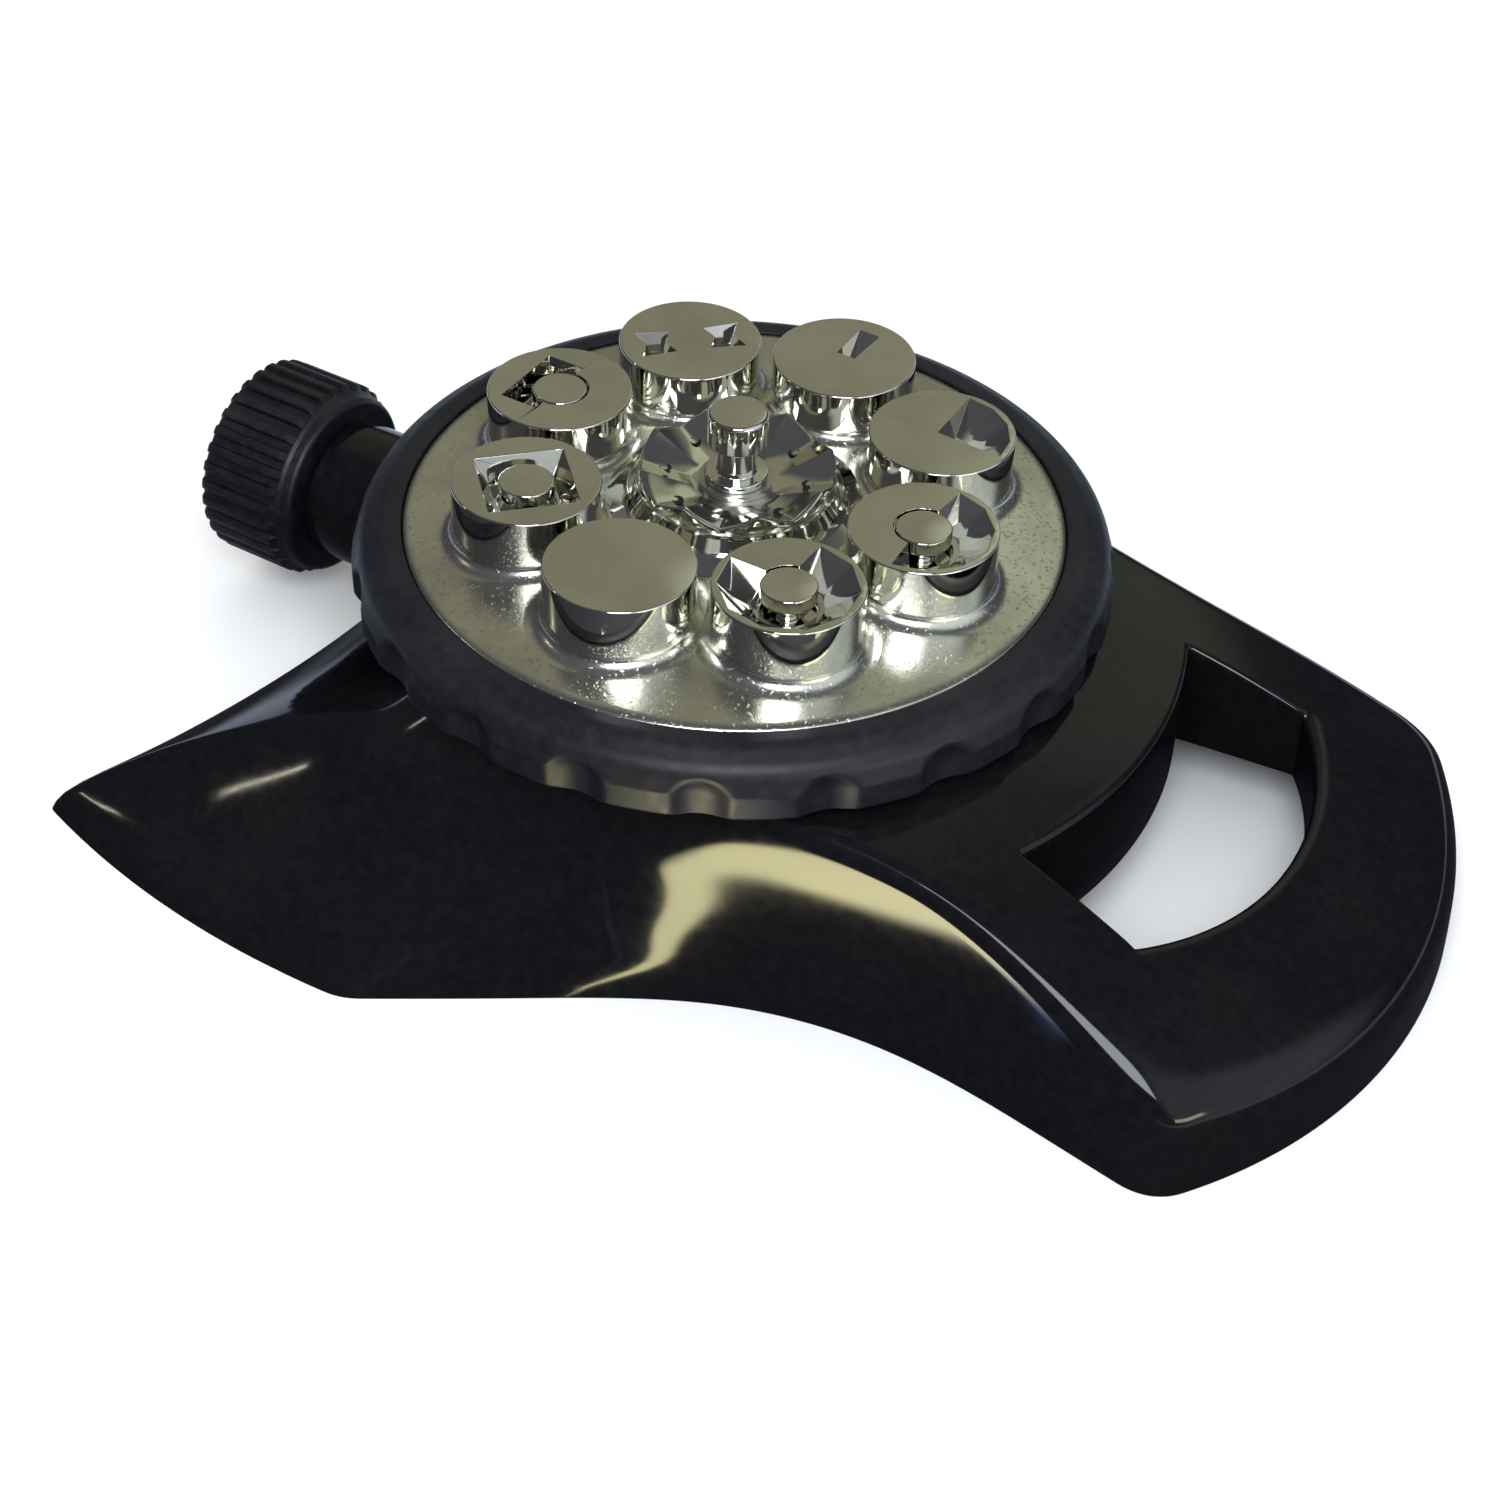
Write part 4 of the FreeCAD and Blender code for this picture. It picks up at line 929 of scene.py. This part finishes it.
def build_nut():
    settings = bpy.context.scene.sprinkler_hose
    crest, ribs = settings.nut_radius / MM, settings.ribs
    valley = crest - 1.05
    per_rib = 14
    columns = ribs * per_rib
    turns = even_turns(columns)
    phase = (np.arange(columns) % per_rib) / per_rib
    rib = np.clip(0.5 + 1.35 * np.cos(2 * math.pi * phase), 0, 1)
    rib = rib * rib * (3 - 2 * rib)
    lip = NUT_BACK - 1.5
    outside = rounded([(NUT_MOUTH, 12.6, 0), (NUT_MOUTH, valley, 1.1),
                       (NUT_MOUTH + 16.2, valley, 0.6), (NUT_MOUTH + 16.9, valley - 0.4, 0.4),
                       (NUT_BACK, valley - 0.7, 1.2), (NUT_BACK, NUT_HOLE, 0.2),
                       (lip, NUT_HOLE, 0)], 7)
    rings = []
    for x, radius in finely(outside, 0.8):
        into = np.clip((x - NUT_MOUTH - 0.1) / 1.6, 0, 1)
        out = np.clip((NUT_MOUTH + 16.0 - x) / 1.1, 0, 1)
        height = math.sqrt(1 - (1 - into) ** 2) * math.sqrt(1 - (1 - out) ** 2)
        bulge = (crest - valley) * height if radius > valley - 1.2 else 0.0
        rings.append(inlet_ring(x, radius + bulge * rib, turns))
    shell = rings_joined(rings)
    pitch = settings.thread_pitch / MM
    rings = []
    for x in np.arange(NUT_MOUTH, THREAD_END, 0.22):
        fade = min(1.0, (x - NUT_MOUTH) / 1.2)
        wave = 0.5 - 0.5 * np.cos(2 * math.pi * (x / pitch) - turns)
        full = THREAD_CREST + (1 - fade) * 0.5 + fade * np.clip(1.6 * wave - 0.3, 0, 1)
        rings.append(inlet_ring(x, full, turns))
    for x, radius in ((NUT_MOUTH + 15.0, NUT_RELIEF), (lip, NUT_RELIEF), (lip, NUT_HOLE)):
        rings.append(inlet_ring(x, radius, turns))
    mesh = mesh_from("hose_nut", *join_shapes(shell, rings_joined(rings)), sharp=42.0)
    add_piece("swivel_nut", mesh, nut_finish(), "hose_coupling", ["hose_nut"])


# ---- Head -------------------------------------------------------------------------------

RING_TOP, RING_BOTTOM = 48.7, 37.8
SCALLOP_RADIUS, SCALLOP_DEPTH, SCALLOP_TOP = 7.5, 1.7, 41.4


def build_ring():
    settings = bpy.context.scene.sprinkler_head
    outer, plate = settings.ring_radius / MM, settings.plate_radius / MM
    per_scallop = 36
    columns = settings.scallops * per_scallop
    turns = even_turns(columns)
    offset = np.arange(columns) % per_scallop / per_scallop - 0.5
    offset = offset * 2 * math.pi / settings.scallops
    profile = rounded([(51.2, RING_BOTTOM, 0), (outer - 0.1, RING_BOTTOM, 0.7),
                       (outer, 42.4, 2.0), (outer - 1.2, 46.4, 4.0), (outer - 5.2, RING_TOP, 5.0),
                       (plate + 0.05, RING_TOP, 0.35), (plate + 0.05, 44.0, 0)], 9)
    centre = outer - SCALLOP_DEPTH + SCALLOP_RADIUS
    rings = []
    for radius, height in finely(profile, 0.45):
        lift = max(0.0, height - SCALLOP_TOP)
        span = max(SCALLOP_RADIUS ** 2 - lift ** 2, 0.0)
        inside = span - (centre * np.sin(offset)) ** 2
        hollow = np.where(inside > 0, centre * np.cos(offset) - np.sqrt(np.maximum(inside, 0)),
                          centre)
        full = soft_min(np.full(columns, radius), hollow, 0.7) if radius > 56 else radius
        rings.append(upright_ring(full, turns, height))
    mesh = mesh_from("grip_ring", *rings_joined(rings), 50.0)
    add_piece("grip_ring_cover", mesh, ring_finish(), "head", ["grip_ring"])


PLATE_RIM_TOP, PLATE_RISE = 48.6, 3.4


def dome_height(radius):
    plate = bpy.context.scene.sprinkler_head.plate_radius / MM
    sphere = (plate ** 2 + PLATE_RISE ** 2) / (2 * PLATE_RISE)
    return PLATE_RIM_TOP + PLATE_RISE - sphere + np.sqrt(sphere ** 2 - radius ** 2)


def build_plate():
    plate = bpy.context.scene.sprinkler_head.plate_radius / MM
    outline = [(radius, dome_height(radius)) for radius in np.linspace(12.0, plate - 1.2, 60)]
    rim = PLATE_RIM_TOP
    outline += [(plate - 0.8, rim - 0.02), (plate - 0.4, rim - 0.14), (plate - 0.12, rim - 0.42),
                (plate, rim - 0.85), (plate, 44.6)]
    mesh = mesh_from("dial_plate", *turned(outline, 256))
    add_piece("domed_plate", mesh, plate_plating(), "head", ["dial_plate"])


NOZZLE_PITCH, NOZZLE_TOP, NOZZLE_FOOT = 34.2, 60.3, 49.0
RECESS_DEPTH, RECESS_REACH = 4.2, 11.1
PLUG_RADIUS, PLUG_FOOT = 4.5, 54.65
JET_FLOOR = 53.0
PLUGGED = ("half_circle", "full_circle", "square", "half_square")


def prism(top, bottom, high, low):
    """Closed cutter between an outline above the nozzle's face and one below it."""
    count = len(top)
    rise = (NOZZLE_TOP + 1.0 - high) / (high - low)
    above = [(t[0] + (t[0] - b[0]) * rise, t[1] + (t[1] - b[1]) * rise)
             for t, b in zip(top, bottom)]
    points = [(x, y, low) for x, y in bottom] + [(x, y, NOZZLE_TOP + 1.0) for x, y in above]
    faces = grid_faces(2, count) + [tuple(range(count))[::-1],
                                    tuple(range(count, 2 * count))]
    return points, faces


def narrowed(points, depth, share, centre=(0.0, 0.0)):
    bottom = [(centre[0] + share * (x - centre[0]), centre[1] + share * (y - centre[1]))
              for x, y in points]
    return prism(points, bottom, NOZZLE_TOP, NOZZLE_TOP - depth)


def fan(radius, half_angle, apex, steps):
    turns = [math.radians(-half_angle + 2 * half_angle * k / steps) for k in range(steps + 1)]
    return [(apex, 0.0)] + [(radius * math.cos(a), radius * math.sin(a)) for a in turns]


def round_hole(radius, low, x=0.0, y=0.0, steps=48):
    outline = [(x + radius * math.cos(a), y + radius * math.sin(a)) for a in even_turns(steps)]
    return prism(outline, outline, NOZZLE_TOP, low)


def nozzle_cuts(kind):
    """Spray recess and outlet of one nozzle, with +X pointing away from the head's axis."""
    outlet = [round_hole(PLUG_RADIUS + 0.32, PLUG_FOOT - 0.05)]
    if kind == "twin_jet":
        bow = [(-3.0, 2.9), (0.0, 4.3), (3.0, 2.9), (3.5, 8.9), (0.0, 7.5), (-3.5, 8.9)]
        other = [(x, -y) for x, y in bow[::-1]]
        cuts = [narrowed(bow, 3.0, 0.55, (0, 5.6)), narrowed(other, 3.0, 0.55, (0, -5.6))]
        return cuts + [round_hole(0.9, JET_FLOOR, 0, y, 20) for y in (5.4, -5.4)]
    if kind == "single_jet":
        return [prism([(0.5, -1.7), (8.6, -1.9), (8.6, 1.9), (0.5, 1.7)],
                      [(0.5, -1.3), (4.0, -1.3), (4.0, 1.3), (0.5, 1.3)],
                      NOZZLE_TOP, NOZZLE_TOP - 3.4), round_hole(1.1, JET_FLOOR, 2.2, 0, 20)]
    if kind == "quarter_circle":
        return [narrowed(fan(RECESS_REACH, 50.0, -0.8, 4), RECESS_DEPTH, 0.45, (1.0, 0)),
                round_hole(1.2, JET_FLOOR, 2.2, 0, 20)]
    if kind == "half_circle":
        return [narrowed(fan(RECESS_REACH, 88.0, -0.5, 6), RECESS_DEPTH, 0.52, (0.5, 0))] + outlet
    if kind == "full_circle":
        return [narrowed(fan(RECESS_REACH, 140.0, -1.5, 8), RECESS_DEPTH, 0.52)] + outlet
    if kind == "square":
        corners = [(-7.3, -7.3), (7.3, -7.3), (7.3, 7.3), (-7.3, 7.3)]
        return [narrowed(corners, RECESS_DEPTH, 0.72)] + outlet
    corners = [(0.0, -6.9), (6.9, -6.9), (6.9, 6.9), (0.0, 6.9)]
    return [narrowed(corners, RECESS_DEPTH, 0.8, (2.0, 0))] + outlet


def stand_on_dial(mesh, kind):
    """Turns and moves a nozzle's mesh from the head's axis to the nozzle's own place."""
    place = middle("nozzle_" + kind)
    angle = math.atan2(place.y, place.x - HEAD_X)
    centre = Matrix.Translation((HEAD_X, 0, 0))
    mesh.transform(centre @ Matrix.Rotation(angle, 4, "Z")
                   @ Matrix.Translation((NOZZLE_PITCH * MM, 0, 0)) @ centre.inverted())
    return angle


def nozzle_flare(angle, radius, steps=128):
    """Skirt where a cup swells out into the domed plate."""
    spread, rise = 2.8, 1.9
    turns = even_turns(steps)
    rings = []
    for number in range(11):
        bend = 0.5 * math.pi * number / 10
        away = spread * (1 - math.sin(bend))
        lift = rise * (1 - math.cos(bend))
        reach = radius + away
        x = NOZZLE_PITCH + reach * np.cos(turns)
        y = reach * np.sin(turns)
        ground = dome_height(np.hypot(x, y))
        spun_x = x * math.cos(angle) - y * math.sin(angle)
        spun_y = x * math.sin(angle) + y * math.cos(angle)
        rings.append(np.stack([spun_x, spun_y, ground + lift + 0.01], 1))
    return rings_joined(rings)


def build_nozzles():
    radius = bpy.context.scene.sprinkler_head.nozzle_radius / MM
    for kind in NOZZLES:
        outline = rounded([(0, NOZZLE_FOOT, 0), (radius, NOZZLE_FOOT, 0),
                           (radius, NOZZLE_TOP, 0.32), (0, NOZZLE_TOP, 0)], 4)
        cup = mesh_from("cup_" + kind, *turned(outline, 128))
        if kind != "blank":
            cup = carve(cup, nozzle_cuts(kind), bevel=0.16)
        angle = stand_on_dial(cup, kind)
        add_piece("cup_" + kind, cup, bright_plating(), "head", ["nozzle_" + kind])
        flare = mesh_from("flare_" + kind, *nozzle_flare(angle, radius))
        add_piece("flare_" + kind, flare, plate_plating(), "head")
        if kind in PLUGGED:
            outline = rounded([(0, PLUG_FOOT, 0), (1.8, PLUG_FOOT, 0.1), (1.8, 55.3, 0.2),
                               (PLUG_RADIUS, 58.0, 0.3), (PLUG_RADIUS, NOZZLE_TOP, 0.3),
                               (0, NOZZLE_TOP, 0)])
            plug = mesh_from("plug_" + kind, *turned(outline, 96))
            stand_on_dial(plug, kind)
            add_piece("plug_" + kind, plug, bright_plating(), "head",
                      ["deflector_" + kind])


ROSETTE_RADIUS, ROSETTE_SKIRT, ROSETTE_HUB = 16.0, 21.0, 7.0
ROSETTE_TOP, ROSETTE_FLOOR = 59.5, 55.4
SPRAY_HOLE_PITCH = 11.6


def flute_share(radius):
    """0 at the boss's hub and 1 at its rim."""
    return np.clip((radius - ROSETTE_HUB) / (ROSETTE_RADIUS - 0.7 - ROSETTE_HUB), 0, 1)


def valley_height(radius):
    return ROSETTE_FLOOR + flute_share(radius) ** 1.3 * 1.7


def build_rosette():
    petals = bpy.context.scene.sprinkler_head.petals
    per_petal = 40
    columns = petals * per_petal
    turns = even_turns(columns)
    across = 1 - np.abs((np.arange(columns) % per_petal) / per_petal - 0.5) * 2
    rings = []
    rows = np.linspace(ROSETTE_HUB + 0.3, ROSETTE_RADIUS - 0.5, 30)
    for radius in (5.42, 6.2, ROSETTE_HUB, *rows):
        ridge = ROSETTE_FLOOR + flute_share(radius) * (ROSETTE_TOP - ROSETTE_FLOOR)
        valley = valley_height(radius)
        height = valley + (ridge - valley) * (1 - across) ** 1.15
        rings.append(upright_ring(radius, turns, height))
    rim = rings[-1][:, 2]
    seat = dome_height(ROSETTE_SKIRT) + 0.05
    for offset, drop in ((0.3, 0.05), (0.12, 0.2), (0.0, 0.5)):
        rings.append(upright_ring(ROSETTE_RADIUS - offset, turns, rim - drop))
    skirt = rounded([(ROSETTE_RADIUS, 56.8, 0), (ROSETTE_RADIUS, seat + 4.2, 3.0),
                     (ROSETTE_RADIUS + 1.6, seat + 1.4, 3.0), (ROSETTE_SKIRT, seat, 0)], 9)
    for radius, height in skirt:
        rings.append(upright_ring(radius, turns, np.minimum(height, rim - 0.5)))
    mesh = mesh_from("center_rosette", *rings_joined(rings), 28.0)
    add_piece("fluted_boss", mesh, bright_plating(), "head", ["center_rosette"])
    # Each spray hole is a small dark disc of painted hole shade on the flutes; no hole is cut
    level = valley_height(SPRAY_HOLE_PITCH)
    outline = [(0.0, level - 0.2), (0.62, level + 0.1), (0.9, level + 0.28), (1.02, level + 0.12)]
    for number in range(petals):
        angle = 2 * math.pi * (number + 0.5) / petals
        spot = (SPRAY_HOLE_PITCH * math.cos(angle), SPRAY_HOLE_PITCH * math.sin(angle))
        hole = mesh_from(f"spray_hole_shade_{number}", *turned(outline, 32, spot))
        add_piece(f"spray_hole_shade_{number}", hole, painted_hole_shade(), "head")


def build_stud():
    outline = rounded([(0, 22.0, 0), (2.95, 22.0, 0.4), (2.95, 30.0, 0), (3.2, 31.0, 0.1),
                       (3.2, 56.4, 0.1), (5.2, 56.4, 0.15), (5.2, 57.7, 0.35), (3.2, 57.7, 0.3),
                       (3.2, 63.2, 0.2), (4.9, 63.2, 0.35), (4.9, 68.8, 0.7), (0, 68.8, 0)], 6)
    mesh = mesh_from("pivot_stud", *turned(outline, 128))
    add_piece("turned_stud", mesh, bright_plating(), "base", ["pivot_stud"])


# ---- Works inside -----------------------------------------------------------------------

def metal_finish(name, colour, roughness):
    return plated_finish(name, colour, roughness, 0.08, pits=0.4, ripple=0.3, bump=0.15)


def build_works():
    """Finishes for the CAD pieces that stay as they are."""
    finishes = {
        "rubber": plastic_finish("Soft Rubber", (0.012, 0.012, 0.012), 0.6, dust=0.1, bump=0.2),
        "steel": metal_finish("Stainless Steel", (0.58, 0.58, 0.57), 0.25),
        "brass": metal_finish("Turned Brass", (0.62, 0.46, 0.18), 0.2),
        "inner_plastic": plastic_finish("Plain Moulding", (0.02, 0.02, 0.021), 0.45, bump=0.15),
        "bearing_plastic": plastic_finish("Slippery White", (0.62, 0.61, 0.57), 0.4, bump=0.1,
                                          lighter=1.1),
    }
    slots = {part["node"]: part["material_slot"] for part in frame["record"]["subparts"]}
    for node, piece in frame["nodes"].items():
        if piece.hide_render:
            continue
        finish = finishes.get(slots[node], bright_plating())
        piece.data.materials.clear()
        piece.data.materials.append(finish)


# ---- Stage ------------------------------------------------------------------------------

def soft_light(name, place, target, width, depth, power, colour):
    light = bpy.data.lights.new(name, "AREA")
    light.shape = "RECTANGLE"
    light.size, light.size_y = width, depth
    light.energy, light.color = power, colour
    lamp = bpy.data.objects.new(name, light)
    bpy.context.scene.collection.objects.link(lamp)
    lamp.location = place
    lamp.rotation_mode = "QUATERNION"
    lamp.rotation_quaternion = (Vector(target) - Vector(place)).to_track_quat("-Z", "Y")


# Sides of the warm strip that glows on the floor only in reflections, a painted highlight on the
# base's side wall, as lines y = slope * x + level: slope, level where the light ends, level where
# it is full
PAINTED_HIGHLIGHT_STRIP_SIDES = ((1.0, -0.144, -0.136), (1.1, -0.113, -0.118), (0.5, -0.097, -0.102))


def build_floor():
    """Pale floor; reflections see it in painted shade, with painted pale reflections further off
    and one warm strip that glows as a painted highlight.
    """
    floor = bpy.data.meshes.new("floor")
    corners = [(-3, -3, 0), (3, -3, 0), (3, 3, 0), (-3, 3, 0)]
    floor.from_pydata(corners, [], [(0, 1, 2, 3)])
    material, nodes, shader = new_finish("Pale Floor", Roughness=0.7)
    place = nodes.place()
    tone = nodes.noise(place, 9.0, 3.0)
    colour = tuple(bpy.context.scene.sprinkler_stage.floor_colour)
    base = nodes.mix(nodes.ramp(tone, 0.3, 0.8), colour, tuple(c * 0.985 for c in colour))
    flat = nodes.add("ShaderNodeSeparateXYZ", {0: place}).outputs
    along, across = flat["X"], flat["Y"]
    mirrored = nodes.add("ShaderNodeLightPath").outputs["Is Glossy Ray"]
    painted_pale_share = nodes.ramp(nodes.maths("MULTIPLY_ADD", along, -0.8, across), 0.05, 0.11)
    painted_pale_share = nodes.maths("MAXIMUM", painted_pale_share, nodes.ramp(along, 0.17, 0.26))
    # Colour that only reflections see: painted shade near the part, a painted pale reflection
    # further off
    far = nodes.mix(painted_pale_share, (0.02, 0.02, 0.03), (0.52, 0.60, 0.75))
    nodes.link(nodes.mix(mirrored, base, far), shader.inputs["Base Color"])
    # Painted highlight: a warm to pale blue strip that glows only in reflections, though nothing
    # lights it
    strip = nodes.times(nodes.ramp(along, 0.004, 0.009), nodes.ramp(along, 0.062, 0.036))
    for slope, dark, bright in PAINTED_HIGHLIGHT_STRIP_SIDES:
        slanted = nodes.maths("MULTIPLY_ADD", along, -slope, across)
        strip = nodes.times(strip, nodes.ramp(slanted, dark, bright))
    strip = nodes.times(strip, mirrored)
    painted_highlight_colour = nodes.mix(nodes.ramp(along, 0.03, 0.055), (1.0, 0.93, 0.52), (0.22, 0.27, 0.50))
    painted_glow = nodes.mix(strip, (0.0, 0.0, 0.0), painted_highlight_colour)
    nodes.link(painted_glow, shader.inputs["Emission Color"])
    shader.inputs["Emission Strength"].default_value = 20.0
    floor.materials.append(material)
    piece = bpy.data.objects.new("floor", floor)
    bpy.context.scene.collection.objects.link(piece)


# Brighter patches of the room: direction, where the patch fades out, where it is full, colour
ROOM_PATCHES = (((-0.38, 0.65, 0.66), 0.80, 0.93, (0.27, 0.262, 0.195)),
                ((-0.10, 0.78, 0.62), 0.962, 0.99, (0.50, 0.53, 0.40)),
                ((0.86, -0.05, 0.50), 0.70, 0.90, (0.75, 0.80, 0.85)))


def build_world():
    """A dark room for reflections; scattered light and the camera see it bright."""
    world = bpy.data.worlds.new("Studio")
    bpy.context.scene.world = world
    world.use_nodes = True
    nodes = Nodes(world.node_tree)
    background = world.node_tree.nodes["Background"]
    ray = nodes.add("ShaderNodeTexCoord").outputs["Generated"]
    up = nodes.add("ShaderNodeSeparateXYZ", {0: ray}).outputs["Z"]
    room = nodes.mix(nodes.ramp(up, 0.0, 0.9), (0.05, 0.052, 0.065), (0.09, 0.095, 0.11))
    for toward, fades, full, colour in ROOM_PATCHES:
        facing = nodes.add("ShaderNodeVectorMath", {0: ray, 1: toward},
                           operation="DOT_PRODUCT").outputs["Value"]
        room = nodes.mix(nodes.ramp(facing, fades, full), room, colour)
    path = nodes.add("ShaderNodeLightPath").outputs
    room = nodes.mix(path["Is Diffuse Ray"], room, (1.13, 1.13, 1.13))
    seen = nodes.mix(path["Is Camera Ray"], room, (0.97, 0.975, 0.98))
    nodes.link(seen, background.inputs["Color"])
    background.inputs["Strength"].default_value = 1.0


def build_stage():
    settings = bpy.context.scene.sprinkler_stage
    build_floor()
    build_world()
    turn, rise = settings.camera_turn, settings.camera_rise
    back = Vector((math.sin(turn) * math.cos(rise), -math.cos(turn) * math.cos(rise),
                   math.sin(rise)))
    looked_at = Vector((0.0159 + HEAD_X, -0.0197, 0.0198))
    data = bpy.data.cameras.new("camera")
    data.lens, data.sensor_width = settings.lens, 36.0
    camera = bpy.data.objects.new("camera", data)
    bpy.context.scene.collection.objects.link(camera)
    camera.location = looked_at + back * settings.camera_distance
    camera.rotation_mode = "QUATERNION"
    roll = Matrix.Rotation(settings.camera_roll, 3, "Z").to_quaternion()
    camera.rotation_quaternion = (-back).to_track_quat("-Z", "Y") @ roll
    bpy.context.scene.camera = camera
    target = (0.0, 0.0, 0.03)
    soft_light("flash", looked_at + back * 0.5 + Vector((0.0, 0.0, 0.10)), target,
               0.24, 0.24, 2.0, (0.90, 0.95, 1.0))
    soft_light("side_strip", (-0.76, -0.28, 0.54), target, 0.008, 0.12, 0.10, (1.0, 0.95, 0.75))
    soft_light("rim_strip", (0.85, -0.35, 0.14), target, 0.50, 0.09, 1.2, (1.0, 0.93, 0.6))
    bpy.context.scene.view_settings.view_transform = "Standard"
    bpy.context.scene.view_settings.exposure = 0.0


# ---- Operators, panel and registration --------------------------------------------------

class SPRINKLER_OT_base(bpy.types.Operator):
    """Builds the sled base with its finger slot"""
    bl_idname = "sprinkler.base"
    bl_label = "Base"

    def execute(self, context):
        build_base()
        return {"FINISHED"}


class SPRINKLER_OT_neck(bpy.types.Operator):
    """Builds the inlet neck"""
    bl_idname = "sprinkler.neck"
    bl_label = "Inlet Neck"

    def execute(self, context):
        build_neck()
        return {"FINISHED"}


class SPRINKLER_OT_nut(bpy.types.Operator):
    """Builds the ribbed swivel nut with its thread"""
    bl_idname = "sprinkler.nut"
    bl_label = "Swivel Nut"

    def execute(self, context):
        build_nut()
        return {"FINISHED"}


class SPRINKLER_OT_ring(bpy.types.Operator):
    """Builds the scalloped grip ring"""
    bl_idname = "sprinkler.ring"
    bl_label = "Grip Ring"

    def execute(self, context):
        build_ring()
        return {"FINISHED"}


class SPRINKLER_OT_plate(bpy.types.Operator):
    """Builds the domed plate"""
    bl_idname = "sprinkler.plate"
    bl_label = "Domed Plate"

    def execute(self, context):
        build_plate()
        return {"FINISHED"}


class SPRINKLER_OT_nozzles(bpy.types.Operator):
    """Builds the eight nozzle cups and their plugs"""
    bl_idname = "sprinkler.nozzles"
    bl_label = "Nozzles"

    def execute(self, context):
        build_nozzles()
        return {"FINISHED"}


class SPRINKLER_OT_rosette(bpy.types.Operator):
    """Builds the fluted boss in the middle"""
    bl_idname = "sprinkler.rosette"
    bl_label = "Fluted Boss"

    def execute(self, context):
        build_rosette()
        return {"FINISHED"}


class SPRINKLER_OT_stud(bpy.types.Operator):
    """Builds the turned stud"""
    bl_idname = "sprinkler.stud"
    bl_label = "Turned Stud"

    def execute(self, context):
        build_stud()
        return {"FINISHED"}


class SPRINKLER_OT_works(bpy.types.Operator):
    """Gives the inner pieces their finishes"""
    bl_idname = "sprinkler.works"
    bl_label = "Inner Works"

    def execute(self, context):
        build_works()
        return {"FINISHED"}


class SPRINKLER_OT_stage(bpy.types.Operator):
    """Builds the floor, the lights and the camera"""
    bl_idname = "sprinkler.stage"
    bl_label = "Stage"

    def execute(self, context):
        build_stage()
        return {"FINISHED"}


OPERATORS = (SPRINKLER_OT_base, SPRINKLER_OT_neck, SPRINKLER_OT_nut, SPRINKLER_OT_ring,
             SPRINKLER_OT_plate, SPRINKLER_OT_nozzles, SPRINKLER_OT_rosette, SPRINKLER_OT_stud,
             SPRINKLER_OT_works, SPRINKLER_OT_stage)
SETTINGS = {"sprinkler_base": BaseSettings, "sprinkler_head": HeadSettings,
            "sprinkler_hose": HoseSettings, "sprinkler_stage": StageSettings}


class SPRINKLER_PT_panel(bpy.types.Panel):
    """Lists the sprinkler's pieces and their settings"""
    bl_label = "Sprinkler"
    bl_idname = "SPRINKLER_PT_panel"
    bl_space_type = "VIEW_3D"
    bl_region_type = "UI"
    bl_category = "Sprinkler"

    def draw(self, context):
        for name, kind in SETTINGS.items():
            box = self.layout.box()
            box.label(text=kind.__doc__)
            group = getattr(context.scene, name)
            for setting in kind.__annotations__:
                box.prop(group, setting)
        for operator in OPERATORS:
            self.layout.operator(operator.bl_idname)


def register():
    for name, kind in SETTINGS.items():
        bpy.utils.register_class(kind)
        setattr(bpy.types.Scene, name, PointerProperty(type=kind))
    for operator in OPERATORS:
        bpy.utils.register_class(operator)
    bpy.utils.register_class(SPRINKLER_PT_panel)


def unregister():
    bpy.utils.unregister_class(SPRINKLER_PT_panel)
    for operator in reversed(OPERATORS):
        bpy.utils.unregister_class(operator)
    for name, kind in SETTINGS.items():
        delattr(bpy.types.Scene, name)
        bpy.utils.unregister_class(kind)


def main():
    register()
    for operator in OPERATORS:
        group, name = operator.bl_idname.split(".")
        getattr(getattr(bpy.ops, group), name)()


if __name__ == "__main__":
    main()
